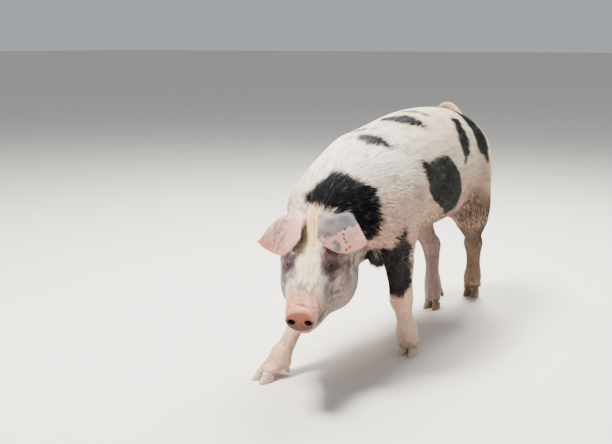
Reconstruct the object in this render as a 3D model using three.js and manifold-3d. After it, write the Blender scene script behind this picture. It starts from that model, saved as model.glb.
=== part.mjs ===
// A spotted pig walking slowly with its head low, life size, in millimetres.
// The pig faces -Y, its left side is +X, +Z is up and the floor is z = 0.
//
// The flesh is one smooth implicit form: forms such as a rib cage, a ham or a cannon bone are fused with
// rounded joins, the surface where the value is zero is turned into a mesh, and plane cuts part it into
// head, neck, trunk and legs. Ears, tail, eyes and claws are lofted solids fitted to that flesh.

import * as THREE from 'three';
import { mergeVertices } from 'three/addons/utils/BufferGeometryUtils.js';
import Module from 'manifold-3d';

const wasm = await Module();
wasm.setup();

// ---------------------------------------------------------------- driving dimensions

const GAP = 0.3; // between solids that touch
const LEG_CUT = 300; // height of the plane that parts the legs from the trunk
const CORONET = 32; // height of the top of a claw's front wall
const EYE_RADIUS = 12.5;
const EYE_DEPTH = 6.5; // from the skin's surface down to the middle of the eyeball
const EAR_THICKNESS = 8;
const CLAW_LENGTH = 54;
const CLAW_WIDTH = 25;
const HEAD_LENGTH = 300; // poll to the snout's face
const JAW_SHIFT = 9; // how far the jaw and cheeks lean to the left of a head held askew

const COLOR = {
  trunk: '#d6c8b6',
  neck: '#4b4746',
  head: '#cfa694',
  ear_left: '#a98f90',
  ear_right: '#dba79a',
  eye: '#1d1512',
  tail: '#dcb09c',
  foreleg_left: '#4a4442',
  foreleg_right: '#d9b9a8',
  hindleg_left: '#a98a74',
  hindleg_right: '#a08c8c',
  horn: '#8d7a68',
};

// How large the mesh cells are on each part of the flesh, along X, Y and Z. Flat faces cut inside a round
// form, so each mesh is made a little outside it: FULLER is by how much.
const CELL = { trunk: [42, 44, 42], neck: [34, 34, 34], head: [22, 22, 21], leg: [20, 20, 29] };
const FULLER = { trunk: 1.5, neck: 1.2, head: 0.8, leg: 0.8 };

// ---------------------------------------------------------------- implicit forms
// A form is a function (x, y, z) -> roughly the distance to its surface, negative inside.

const lerp = (a, b, t) => a + (b - a) * t;
const clamp = (v, low, high) => Math.min(high, Math.max(low, v));

// A long round form from a to b, with its own radius at each end. girth widens it sideways.
function bone(a, radiusA, b, radiusB, girth = 1) {
  const d = [b[0] - a[0], b[1] - a[1], b[2] - a[2]];
  const length2 = d[0] ** 2 + d[1] ** 2 + d[2] ** 2;
  return (x, y, z) => {
    const p = [x - a[0], y - a[1], z - a[2]];
    const t = clamp((p[0] * d[0] + p[1] * d[1] + p[2] * d[2]) / length2, 0, 1);
    const side = (p[0] - t * d[0]) / girth;
    return Math.hypot(side, p[1] - t * d[1], p[2] - t * d[2]) - lerp(radiusA, radiusB, t);
  };
}

// An egg with three half-sizes, tilted nose-down by `pitch` degrees about the X axis.
function egg(at, half, pitch = 0) {
  const c = Math.cos(THREE.MathUtils.degToRad(pitch));
  const s = Math.sin(THREE.MathUtils.degToRad(pitch));
  return (x, y, z) => {
    const dy = y - at[1];
    const dz = z - at[2];
    const q = [(x - at[0]) / half[0], (c * dy - s * dz) / half[1], (s * dy + c * dz) / half[2]];
    const k = Math.hypot(...q);
    const slope = Math.hypot(q[0] / half[0], q[1] / half[1], q[2] / half[2]);
    return slope > 1e-9 ? (k * (k - 1)) / slope : -Math.min(...half);
  };
}

// A body along a curved line of stations. Each station has its place and how far the flesh reaches
// up, down and sideways from it. squareness 2 is an ellipse, and more is boxier.
function barrel(stations, squareness, endCap) {
  const line = new THREE.CatmullRomCurve3(stations.map((s) => new THREE.Vector3(...s.at)));
  const reach = new THREE.CatmullRomCurve3(
    stations.map((s) => new THREE.Vector3(s.up, s.down, s.side)));
  const steps = (stations.length - 1) * 4;
  const up = new THREE.Vector3(0, 0, 1);
  const rings = Array.from({ length: steps + 1 }, (_, i) => {
    const at = line.getPoint(i / steps);
    const along = line.getTangent(i / steps);
    const side = new THREE.Vector3().crossVectors(along, up).normalize();
    return { at, along, side, top: new THREE.Vector3().crossVectors(side, along), reach: reach.getPoint(i / steps) };
  });
  const p = new THREE.Vector3();
  const axis = new THREE.Vector3();
  return (x, y, z) => {
    let best = Infinity;
    let segment = 0;
    let share = 0;
    for (let i = 0; i < steps; i++) {
      const a = rings[i].at;
      axis.subVectors(rings[i + 1].at, a);
      p.set(x, y, z).sub(a);
      const t = clamp(p.dot(axis) / axis.lengthSq(), 0, 1);
      const d2 = p.addScaledVector(axis, -t).lengthSq();
      if (d2 < best) [best, segment, share] = [d2, i, t];
    }
    const [a, b] = [rings[segment], rings[segment + 1]];
    p.set(x, y, z).sub(axis.lerpVectors(a.at, b.at, share));
    const sideways = p.dot(axis.lerpVectors(a.side, b.side, share));
    const upwards = p.dot(axis.lerpVectors(a.top, b.top, share));
    const onwards = p.dot(axis.lerpVectors(a.along, b.along, share));
    axis.lerpVectors(a.reach, b.reach, share);
    const height = upwards > 0 ? axis.x : axis.y;
    const terms = [sideways / axis.z, upwards / height, onwards / endCap];
    const rho = terms.reduce((sum, v) => sum + Math.abs(v) ** squareness, 0) ** (1 / squareness);
    const r = p.length();
    return rho > 1e-6 ? r - r / rho : -Math.min(height, axis.z);
  };
}

// Two values fused with a fillet about `round` across, or the second carved out of the first.
function fuse(a, b, round) {
  const h = Math.max(round - Math.abs(a - b), 0) / round;
  return Math.min(a, b) - (h * h * round) / 4;
}
const carve = (a, b, round) => -fuse(-a, b, round);

// A list of [form, fillet] pairs as one form.
function fused(parts) {
  return (x, y, z) => parts.reduce((value, [form, round]) => fuse(value, form(x, y, z), round), 1e4);
}

const carved = (base, hollow, round) => (x, y, z) => carve(base(x, y, z), hollow(x, y, z), round);

// The same form mirrored to the other side of the body.
const bothSides = (form) => (x, y, z) => form(Math.abs(x), y, z);

// The same form moved along X.
const sideways = (form, by) => (x, y, z) => form(x - by, y, z);

// A form that is written in a turned frame, put in its place.
function placed(form, matrix) {
  const back = matrix.clone().invert().elements;
  return (x, y, z) => form(
    back[0] * x + back[4] * y + back[8] * z + back[12],
    back[1] * x + back[5] * y + back[9] * z + back[13],
    back[2] * x + back[6] * y + back[10] * z + back[14]);
}

// ---------------------------------------------------------------- head, in a frame of its own
// The origin is the poll, between the ears; the face runs along -Y and its front looks up, to +Z.

const headFrame = new THREE.Matrix4().compose(
  new THREE.Vector3(-16.5, -481, 450),
  new THREE.Quaternion().setFromEuler(new THREE.Euler(
    THREE.MathUtils.degToRad(33), THREE.MathUtils.degToRad(-0.5), THREE.MathUtils.degToRad(22.4), 'ZXY')),
  new THREE.Vector3(1, 1, 1));

const skull = barrel([
  { at: [0, 45, -100], up: 60, down: 90, side: 68 },
  { at: [0, -5, -92], up: 66, down: 98, side: 70 },
  { at: [0, -60, -88], up: 62, down: 96, side: 72 },
  { at: [0, -115, -86], up: 56, down: 84, side: 66 },
  { at: [0, -165, -86], up: 50, down: 70, side: 58 },
  { at: [0, -215, -82], up: 44, down: 56, side: 49 },
  { at: [0, -262, -72], up: 38, down: 44, side: 40 },
  { at: [0, -288, -67], up: 35, down: 33, side: 35 },
], 2.2, 10);

const muzzleRim = egg([1, -HEAD_LENGTH + 22, -66], [37, 14, 34], -4);
const lowerJaw = bone([5, -120, -160], 60, [3, -260, -117], 26, 1.2);
const cheek = bothSides(egg([52, -84, -142], [49, 84, 68]));
const cheekBone = bothSides(bone([56, -140, -72], 17, [68, -60, -84], 26));
const brow = bothSides(bone([40, -98, -42], 18, [50, -130, -46], 15));
const jowl = egg([JAW_SHIFT, -60, -196], [78, 84, 46], 20);
const earRoot = bothSides(bone([34, -4, -47], 25, [60, 4, -53], 23));
const eyeLook = [0.8, -0.42, 0.42]; // the way the left eye looks
const socket = bothSides(egg([63, -140, -44], [12, 20, 15]));

const headForm = carved(fused([
  [skull, 1], [muzzleRim, 12], [lowerJaw, 30], [sideways(cheek, JAW_SHIFT), 30],
  [sideways(cheekBone, JAW_SHIFT / 2), 24], [brow, 20],
  [jowl, 40], [earRoot, 24],
]), socket, 14);

// The middle of the left eyeball, found by walking in from the skin along the way the eye looks.
const eyeAt = (() => {
  const look = new THREE.Vector3(...eyeLook).normalize();
  const p = new THREE.Vector3(46, -133, -50).addScaledVector(look, 40);
  while (headForm(p.x, p.y, p.z) > 0) p.addScaledVector(look, -0.25);
  return p.addScaledVector(look, -EYE_DEPTH).toArray();
})();

// ---------------------------------------------------------------- trunk and neck

const torso = barrel([
  { at: [2, 405, 500], up: 74, down: 100, side: 66 },
  { at: [2, 350, 505], up: 128, down: 140, side: 102 },
  { at: [0, 270, 508], up: 162, down: 160, side: 128 },
  { at: [0, 170, 505], up: 180, down: 172, side: 145 },
  { at: [0, 30, 500], up: 184, down: 172, side: 158 },
  { at: [0, -110, 488], up: 172, down: 165, side: 160 },
  { at: [-2, -240, 468], up: 160, down: 150, side: 156 },
  { at: [-8, -330, 448], up: 144, down: 135, side: 148 },
  { at: [-14, -400, 424], up: 114, down: 118, side: 134 },
  { at: [-14, -452, 398], up: 74, down: 92, side: 100 },
], 2.25, 50);

const shoulderBlade = bothSides(bone([88, -190, 540], 56, [104, -330, 400], 66, 1.0));
const tailHead = bone([0, 360, 600], 40, [2, 432, 566], 26);

// How wide the fillet is where a form runs into the trunk.
const FILLET = { shoulder: 70, tail: 40, head: 45, foreleg: 50, hindleg: 60 };

// ---------------------------------------------------------------- legs

// Where each leg's bones meet. `foot` is the front of the claws on the floor, `outward` how many degrees
// the foot turns out, and `spread` how many degrees its two claws part.
const legs = {
  foreleg_left: {
    elbow: [105, -254, 352], knee: [110, -232, 184], fetlock: [109, -190, 74],
    foot: [106, -208], outward: -2, spread: 9,
  },
  foreleg_right: {
    elbow: [-108, -330, 330], knee: [-93, -402, 178], fetlock: [-112, -508, 46],
    foot: [-137, -594], outward: 20, spread: 22,
  },
  hindleg_left: {
    hip: [64, 290, 500], stifle: [90, 290, 362], hock: [54, 418, 205], fetlock: [42, 450, 78],
    foot: [30, 440], outward: -2, spread: 8,
  },
  hindleg_right: {
    hip: [-70, 290, 490], stifle: [-92, 222, 350], hock: [-54, 312, 204], fetlock: [-34, 284, 72],
    foot: [-24, 232], outward: 0, spread: 8,
  },
};

// The two toes of a foot: where each claw stands and which way it points.
function toes({ foot, outward, spread }, sideSign) {
  return [-1, 1].map((which) => {
    const turn = THREE.MathUtils.degToRad(sideSign * outward + (which * spread) / 2);
    const step = CLAW_WIDTH * 0.6 + (CLAW_LENGTH / 2) * Math.sin(THREE.MathUtils.degToRad(spread / 2));
    const middle = new THREE.Vector3(which * step, CLAW_LENGTH / 2, 0).applyAxisAngle(
      new THREE.Vector3(0, 0, 1), turn);
    return { x: foot[0] + middle.x, y: foot[1] + middle.y, turn };
  });
}

const sideOf = (name) => (name.endsWith('_left') ? 1 : -1);

function footForm(name, leg) {
  const [fx, fy, fz] = leg.fetlock;
  const digits = toes(leg, sideOf(name)).map((toe) => [
    bone([lerp(fx, toe.x, 0.35), fy, fz - 12], 21, [toe.x, toe.y + 4, CORONET - 8], 15.5, 1.0), 14]);
  return fused([[bone([fx, fy, fz + 14], 24, [fx, fy + 3, fz - 8], 25, 1.1), 1], ...digits]);
}

function forelegForm(name) {
  const leg = legs[name];
  const { elbow, knee, fetlock } = leg;
  return fused([
    [bone(elbow, 53, knee, 28, 0.95), 1],
    [egg([knee[0], knee[1] - 2, knee[2]], [27, 28, 40]), 24],
    [bone(knee, 25, fetlock, 23, 1.0), 20],
    [footForm(name, leg), 20],
  ]);
}

function hindlegForm(name) {
  const leg = legs[name];
  const { hip, stifle, hock, fetlock } = leg;
  return fused([
    [bone(hip, 105, stifle, 72, 0.72), 1],
    [bone([hip[0] - 4, hip[1] + 66, hip[2] - 70], 74, [stifle[0] - 20, stifle[1] + 66, stifle[2] - 34], 50, 0.75), 60],
    [bone(stifle, 58, hock, 27, 0.8), 60],
    [bone([hock[0], hock[1] - 14, hock[2] + 8], 27, [hock[0], hock[1] + 16, hock[2] + 16], 16), 14],
    [bone(hock, 28, fetlock, 22, 0.95), 24],
    [footForm(name, leg), 20],
  ]);
}

const trunkForm = fused([[torso, 1], [shoulderBlade, FILLET.shoulder], [tailHead, FILLET.tail]]);
const upperForm = fused([[trunkForm, 1], [placed(headForm, headFrame), FILLET.head]]);
const legForm = {
  foreleg_left: forelegForm('foreleg_left'),
  foreleg_right: forelegForm('foreleg_right'),
  hindleg_left: hindlegForm('hindleg_left'),
  hindleg_right: hindlegForm('hindleg_right'),
};
const filletOf = (name) => FILLET[name.split('_')[0]];
const fleshForm = fused([
  [upperForm, 1], ...Object.entries(legForm).map(([name, form]) => [form, filletOf(name)]),
]);

// ---------------------------------------------------------------- meshing the flesh

const solidOf = (geometry) => new wasm.Manifold(new wasm.Mesh({
  numProp: 3,
  vertProperties: new Float32Array(geometry.attributes.position.array),
  triVerts: new Uint32Array(geometry.index.array),
}));

function geometryOf(solid) {
  const mesh = solid.getMesh();
  const position = new Float32Array(mesh.numVert * 3);
  for (let i = 0; i < mesh.numVert; i++) {
    position.set(mesh.vertProperties.subarray(i * mesh.numProp, i * mesh.numProp + 3), i * 3);
  }
  const geometry = new THREE.BufferGeometry();
  geometry.setAttribute('position', new THREE.BufferAttribute(position, 3));
  geometry.setIndex(new THREE.BufferAttribute(new Uint32Array(mesh.triVerts), 1));
  return geometry;
}

// Moves a point onto the form's zero surface, a few steps down its slope.
function settle(form, p, most) {
  const start = p.clone();
  const e = 0.5;
  for (let step = 0; step < 3; step++) {
    const value = form(p.x, p.y, p.z);
    const slope = new THREE.Vector3(
      form(p.x + e, p.y, p.z) - form(p.x - e, p.y, p.z),
      form(p.x, p.y + e, p.z) - form(p.x, p.y - e, p.z),
      form(p.x, p.y, p.z + e) - form(p.x, p.y, p.z - e)).divideScalar(2 * e);
    p.addScaledVector(slope, -value / Math.max(slope.lengthSq(), 0.3));
  }
  return p.distanceTo(start) < most ? p : start;
}

// The form's zero surface inside a box of {low, high} corners as a closed mesh: a vertex in each grid cell
// that the surface crosses, and a four-sided face across each grid edge that it crosses.
function meshOf(shape, { low, high }, part) {
  const cell = CELL[part];
  const form = (x, y, z) => shape(x, y, z) - FULLER[part];
  const count = low.map((v, k) => Math.ceil((high[k] - v) / cell[k]) + 1);
  const step = low.map((v, k) => (high[k] - v) / (count[k] - 1));
  const at = (i, j, k) => (k * count[1] + j) * count[0] + i;
  const place = (i, j, k) => new THREE.Vector3(
    low[0] + i * step[0], low[1] + j * step[1], low[2] + k * step[2]);
  const inner = (v, axis) => v > 0 && v < count[axis] - 1;
  const values = new Float32Array(count[0] * count[1] * count[2]);
  for (let k = 0; k < count[2]; k++) {
    for (let j = 0; j < count[1]; j++) {
      for (let i = 0; i < count[0]; i++) {
        const p = place(i, j, k);
        const inside = inner(i, 0) && inner(j, 1) && inner(k, 2);
        values[at(i, j, k)] = inside ? form(p.x, p.y, p.z) : Math.max(form(p.x, p.y, p.z), cell[0]);
      }
    }
  }

  const corners = [0, 1, 2, 3, 4, 5, 6, 7].map((n) => [n & 1, (n >> 1) & 1, (n >> 2) & 1]);
  const edges = corners.flatMap((a, m) => corners.map((b, n) => [a, b, m, n]))
    .filter(([a, b, m, n]) => m < n && Math.abs(a[0] - b[0]) + Math.abs(a[1] - b[1]) + Math.abs(a[2] - b[2]) === 1);
  const points = [];
  const pointOf = new Map();
  for (let k = 0; k < count[2] - 1; k++) {
    for (let j = 0; j < count[1] - 1; j++) {
      for (let i = 0; i < count[0] - 1; i++) {
        const crossings = [];
        for (const [a, b] of edges) {
          const va = values[at(i + a[0], j + a[1], k + a[2])];
          const vb = values[at(i + b[0], j + b[1], k + b[2])];
          if (va < 0 === vb < 0) continue;
          crossings.push(place(i + a[0], j + a[1], k + a[2])
            .lerp(place(i + b[0], j + b[1], k + b[2]), va / (va - vb)));
        }
        if (!crossings.length) continue;
        const middle = crossings.reduce((sum, p) => sum.add(p), new THREE.Vector3())
          .divideScalar(crossings.length);
        pointOf.set(at(i, j, k), points.length);
        points.push(settle(form, middle, Math.max(...cell) * 0.6));
      }
    }
  }

  const index = [];
  const quad = (a, b, c, d, flip) => {
    const ring = (flip ? [a, d, c, b] : [a, b, c, d]).map((n) => pointOf.get(n));
    const [p, q, r, s] = ring.map((n) => points[n]);
    const [m, n, o, t] = ring;
    if (p.distanceTo(r) < q.distanceTo(s)) index.push(m, n, o, m, o, t);
    else index.push(m, n, t, n, o, t);
  };
  for (let k = 0; k < count[2] - 1; k++) {
    for (let j = 0; j < count[1] - 1; j++) {
      for (let i = 0; i < count[0] - 1; i++) {
        const here = values[at(i, j, k)] < 0;
        const differs = (value) => value < 0 !== here;
        if (j && k && differs(values[at(i + 1, j, k)])) {
          quad(at(i, j - 1, k - 1), at(i, j, k - 1), at(i, j, k), at(i, j - 1, k), !here);
        }
        if (i && k && differs(values[at(i, j + 1, k)])) {
          quad(at(i - 1, j, k - 1), at(i - 1, j, k), at(i, j, k), at(i, j, k - 1), !here);
        }
        if (i && j && differs(values[at(i, j, k + 1)])) {
          quad(at(i - 1, j - 1, k), at(i, j - 1, k), at(i, j, k), at(i - 1, j, k), !here);
        }
      }
    }
  }
  relax(form, points, index, Math.max(...cell) * 0.6);
  const geometry = new THREE.BufferGeometry().setFromPoints(points);
  geometry.setIndex(index);
  return geometry;
}

// Evens the faces out: each point moves towards the middle of its neighbours and back onto the surface.
function relax(form, points, index, most) {
  for (let pass = 0; pass < 3; pass++) {
    const sums = points.map(() => new THREE.Vector3());
    const counts = points.map(() => 0);
    for (let i = 0; i < index.length; i++) {
      const next = index[i % 3 === 2 ? i - 2 : i + 1];
      sums[index[i]].add(points[next]);
      counts[index[i]]++;
    }
    points.forEach((p, i) => {
      const target = p.clone().lerp(sums[i].divideScalar(counts[i]), 0.6);
      p.copy(settle(form, target, most));
    });
  }
}

// ---------------------------------------------------------------- parting the flesh

function plain(geometry) {
  geometry.deleteAttribute('normal');
  geometry.deleteAttribute('uv');
  return mergeVertices(geometry);
}

// Everything on the side of a plane that `facing` points to.
function beyond(at, facing) {
  const size = 3000;
  const box = plain(new THREE.BoxGeometry(size, size, size));
  box.translate(0, 0, size / 2);
  box.applyQuaternion(new THREE.Quaternion().setFromUnitVectors(
    new THREE.Vector3(0, 0, 1), new THREE.Vector3(...facing).normalize()));
  box.translate(...at);
  return solidOf(box);
}

// The two sides of a cut that leaves a gap: [ahead, behind].
function cut(at, facing) {
  const unit = new THREE.Vector3(...facing).normalize();
  const shifted = (by) => new THREE.Vector3(...at).addScaledVector(unit, by).toArray();
  return [beyond(shifted(GAP / 2), facing), beyond(shifted(-GAP / 2), facing.map((v) => -v))];
}

const [aboveLegs, belowTrunk] = cut([0, 0, LEG_CUT], [0, 0, 1]);
const [aheadOfShoulder, behindShoulder] = cut([0, -412, 390], [0, -0.966, -0.258]);
const [aheadOfPoll, behindPoll] = cut([22, -478, 440], [0.1, -0.8, -0.6]);

// ---------------------------------------------------------------- lofted solids

// A closed solid through rings of points, each ring running anticlockwise seen from the last ring.
function loft(rings) {
  const n = rings[0].length;
  const points = rings.flat();
  const index = [];
  for (let r = 0; r + 1 < rings.length; r++) {
    for (let i = 0; i < n; i++) {
      const [a, b] = [r * n + i, r * n + ((i + 1) % n)];
      index.push(a, b, b + n, a, b + n, a + n);
    }
  }
  const last = (rings.length - 1) * n;
  for (let i = 1; i + 1 < n; i++) {
    index.push(0, i + 1, i);
    index.push(last, last + i, last + i + 1);
  }
  const geometry = new THREE.BufferGeometry().setFromPoints(points);
  geometry.setIndex(index);
  return geometry;
}

// The same mesh with its faces turned to point outwards.
function outward(geometry) {
  const { position } = geometry.attributes;
  const index = geometry.index.array;
  const corner = (i) => new THREE.Vector3().fromBufferAttribute(position, index[i]);
  let volume = 0;
  for (let i = 0; i < index.length; i += 3) {
    volume += corner(i).dot(corner(i + 1).cross(corner(i + 2)));
  }
  if (volume < 0) index.reverse();
  return geometry;
}

// A round tapering rod along a curve.
function rod(curve, radiusAt, steps, sides) {
  const frames = curve.computeFrenetFrames(steps, false);
  return loft(Array.from({ length: steps + 1 }, (_, s) => {
    const centre = curve.getPointAt(s / steps);
    return Array.from({ length: sides }, (_, i) => {
      const a = (i / sides) * Math.PI * 2;
      return centre.clone()
        .addScaledVector(frames.normals[s], radiusAt(s / steps) * Math.cos(a))
        .addScaledVector(frames.binormals[s], radiusAt(s / steps) * Math.sin(a));
    });
  }));
}

// A copy of a mesh pushed outwards by `by`, so that what is cut with it keeps that much clear.
function grown(geometry, by) {
  const bigger = geometry.clone();
  bigger.computeVertexNormals();
  const { position, normal } = bigger.attributes;
  for (let i = 0; i < position.count; i++) {
    position.setXYZ(i, position.getX(i) + normal.getX(i) * by,
      position.getY(i) + normal.getY(i) * by, position.getZ(i) + normal.getZ(i) * by);
  }
  bigger.deleteAttribute('normal');
  return bigger;
}

// ---------------------------------------------------------------- claws and dewclaws

// The coronet is the slanting line where skin meets horn: high in front and low at the heel.
const HEEL_HEIGHT = 17;

function coronetHeight(leg, side, x, y) {
  const turn = THREE.MathUtils.degToRad(side * leg.outward);
  const back = (y - leg.foot[1]) * Math.cos(turn) - (x - leg.foot[0]) * Math.sin(turn);
  return lerp(CORONET, HEEL_HEIGHT, clamp(back / CLAW_LENGTH, -1, 2));
}

function clawGeometry(leg, side, toe) {
  const sides = 12;
  const ring = (share, inset, height) => Array.from({ length: sides }, (_, i) => {
    const a = (i / sides) * Math.PI * 2;
    const forward = Math.cos(a);
    const narrow = 1 - 0.2 * forward;
    const slope = forward > 0 ? 0.72 : 0.12;
    const half = CLAW_LENGTH / 2 - inset;
    const p = new THREE.Vector3(
      Math.sign(Math.sin(a)) * Math.abs(Math.sin(a)) ** 0.85 * (CLAW_WIDTH / 2 - inset) * narrow
        * (1 - 0.12 * share),
      -forward * half, 0);
    p.applyAxisAngle(new THREE.Vector3(0, 0, 1), toe.turn);
    p.x += toe.x;
    p.y += toe.y;
    const top = coronetHeight(leg, side, p.x, p.y) - GAP;
    const z = height ?? top * share;
    const back = new THREE.Vector3(0, slope * z * forward, 0)
      .applyAxisAngle(new THREE.Vector3(0, 0, 1), toe.turn);
    p.add(back);
    p.z = height ?? (coronetHeight(leg, side, p.x, p.y) - GAP) * share;
    return p;
  });
  return loft([ring(0, 1.6, 0), ring(0.12, 0), ring(1, 0)]);
}

function dewclawGeometry(leg, side, which, extra) {
  const [fx, fy, fz] = leg.fetlock;
  const turn = THREE.MathUtils.degToRad(side * leg.outward);
  const root = new THREE.Vector3(which * 17, 13, -12).applyAxisAngle(new THREE.Vector3(0, 0, 1), turn);
  const tip = new THREE.Vector3(which * 24, 25, -40).applyAxisAngle(new THREE.Vector3(0, 0, 1), turn);
  root.add(new THREE.Vector3(lerp(fx, leg.foot[0], 0.3), fy, fz));
  tip.add(new THREE.Vector3(lerp(fx, leg.foot[0], 0.5), fy, fz));
  const along = tip.clone().sub(root).normalize();
  tip.addScaledVector(along, extra);
  const line = new THREE.LineCurve3(root, tip);
  return rod(line, (t) => (9.5 - 5 * t * t) + extra, 3, 8);
}

// ---------------------------------------------------------------- ears
// An ear is a sheet of ribs that run from a root line on the skull to the rim. It rises from the root and
// then hangs forwards over the eye. The rim goes from the inner edge round the tip to the rear edge.
// `arch` is how high the sheet bows, and `archEnd` how far towards the rear edge the bow reaches.

const earRootLine = [[22, -14, -14], [52, 6, -18], [74, 2, -50]];
const ears = {
  ear_left: {
    arch: 49,
    archEnd: 0.87,
    rim: [[17, -52, 10], [20, -104, 20], [58, -112, -16], [92, -100, -38], [120, -92, -32], [143, -80, -14],
      [122, -48, -4], [100, -14, -28]],
  },
  ear_right: {
    arch: 40,
    archEnd: 1.02,
    rim: [[22, -50, 4], [22, -98, 10], [52, -110, -26], [80, -102, -54], [116, -84, -58], [150, -62, -44],
      [112, -46, -38], [92, -10, -42]],
  },
};

const EAR_ROWS = 4; // from the root to the rim
const EAR_RIBS = 14;

function earGeometry(name) {
  const side = sideOf(name);
  const curve = (points) => new THREE.CatmullRomCurve3(
    points.map(([x, y, z]) => new THREE.Vector3(side * x, y, z)), false, 'centripetal');
  const rootLine = curve(earRootLine);
  const rim = curve(ears[name].rim);
  const { arch, archEnd } = ears[name];
  const lift = new THREE.Vector3(side * -0.1, 0.4, 0.92).multiplyScalar(arch);
  const sheet = (s, t) => {
    const start = rootLine.getPointAt(t);
    const end = rim.getPoint(t);
    start.addScaledVector(end.clone().sub(start).normalize(), -14);
    const bow = Math.sin(Math.PI * Math.min(s * 1.05, 1)) * Math.sin(Math.PI * lerp(0.05, archEnd, t));
    return start.lerp(end, s).addScaledVector(lift, bow);
  };
  const place = (s, t, layer) => {
    const e = 0.02;
    const [s0, s1] = [Math.max(s - e, 0), Math.min(s + e, 1)];
    const [t0, t1] = [Math.max(t - e, 0), Math.min(t + e, 1)];
    const normal = new THREE.Vector3().crossVectors(
      sheet(s1, t).sub(sheet(s0, t)), sheet(s, t1).sub(sheet(s, t0))).normalize();
    const edge = Math.max(s ** 4, Math.abs(2 * t - 1) ** 6);
    return sheet(s, t).addScaledVector(normal, layer * EAR_THICKNESS * (0.5 - 0.2 * edge)).applyMatrix4(headFrame);
  };
  const rings = Array.from({ length: EAR_RIBS + 1 }, (_, r) => {
    const t = r / EAR_RIBS;
    const rows = Array.from({ length: EAR_ROWS + 1 }, (_, q) => q / EAR_ROWS);
    const ring = [...rows.map((s) => place(s, t, 1)), ...rows.reverse().map((s) => place(s, t, -1))];
    return ring;
  });
  return outward(loft(rings));
}

// ---------------------------------------------------------------- tail

const tailCurve = new THREE.CatmullRomCurve3([
  [2, 400, 556], [-2, 440, 564], [-16, 462, 596], [-42, 464, 640], [-72, 452, 672], [-102, 442, 662],
  [-108, 444, 632], [-84, 456, 612],
].map((p) => new THREE.Vector3(...p)));
const tailGeometry = rod(tailCurve, (t) => 14 * (1 - t) ** 0.8 + 4.5, 14, 7);

// ---------------------------------------------------------------- the named pieces

const root = new THREE.Group();
root.name = 'pig';
const pieces = [];

function add(name, solidOrGeometry, color, roughness) {
  const geometry = solidOrGeometry.getMesh ? geometryOf(solidOrGeometry) : solidOrGeometry;
  const mesh = new THREE.Mesh(geometry, new THREE.MeshStandardMaterial({ color, roughness, metalness: 0 }));
  mesh.name = name;
  pieces.push(mesh);
}

function addTrunk() {
  const whole = solidOf(meshOf(fleshForm, { low: [-230, -500, LEG_CUT - 100], high: [230, 590, 730] }, 'trunk'));
  const trunk = whole.intersect(aboveLegs).intersect(behindShoulder);
  const clear = grown(geometryOf(trunk), GAP + 0.1);
  add('trunk', trunk, COLOR.trunk, 0.8);
  add('tail', solidOf(tailGeometry).subtract(solidOf(clear)), COLOR.tail, 0.7);
}

function addNeck() {
  const whole = solidOf(meshOf(fleshForm, { low: [-200, -640, LEG_CUT - 30], high: [220, -250, 700] }, 'neck'));
  const neck = whole.intersect(aheadOfShoulder).intersect(behindPoll).intersect(aboveLegs);
  add('neck', neck, COLOR.neck, 0.8);
  return neck;
}

function eyeSphere(side, radius) {
  const centre = new THREE.Vector3(side * eyeAt[0], eyeAt[1], eyeAt[2]).applyMatrix4(headFrame);
  const sphere = plain(new THREE.SphereGeometry(radius, 12, 9));
  return sphere.translate(centre.x, centre.y, centre.z);
}

// The snout's disc: a low rounded drum with a slanting face, standing a little proud of the muzzle.
function snoutDisc() {
  const sides = 20;
  const ring = (back, grow) => Array.from({ length: sides }, (_, i) => {
    const a = (i / sides) * Math.PI * 2;
    const [x, z] = [2 + Math.sin(a) * (37.5 + grow), -66 + Math.cos(a) * (34.5 + grow)];
    return new THREE.Vector3(x, -HEAD_LENGTH + back + (z + 66) * 0.1, z).applyMatrix4(headFrame);
  });
  return solidOf(outward(loft([ring(22, -5), ring(11, 0), ring(4, 0), ring(0, -4)])));
}

function nostril(side) {
  const hole = plain(new THREE.SphereGeometry(1, 10, 8));
  hole.scale(7.5, 20, 7);
  hole.rotateZ(side * -0.25);
  hole.translate(2 + side * 20.5, -HEAD_LENGTH - 2, -67);
  return solidOf(hole.applyMatrix4(headFrame));
}

function addHead(neck) {
  const whole = meshOf(upperForm, { low: [-150, -790, 120], high: [230, -380, 600] }, 'head');
  let head = solidOf(whole).intersect(aheadOfPoll).intersect(aheadOfShoulder).add(snoutDisc());
  const clear = [head, neck].map((solid) => solidOf(grown(geometryOf(solid), GAP + 0.5)));
  for (const side of [1, -1]) {
    head = head.subtract(solidOf(eyeSphere(side, EYE_RADIUS + GAP))).subtract(nostril(side));
  }
  add('head', head, COLOR.head, 0.75);
  for (const side of [1, -1]) {
    const hand = side > 0 ? 'left' : 'right';
    add(`eye_${hand}`, eyeSphere(side, EYE_RADIUS), COLOR.eye, 0.15);
    const ear = `ear_${hand}`;
    add(ear, solidOf(earGeometry(ear)).subtract(clear[0]).subtract(clear[1]), COLOR[ear], 0.7);
  }
  return clear[0];
}

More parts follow.
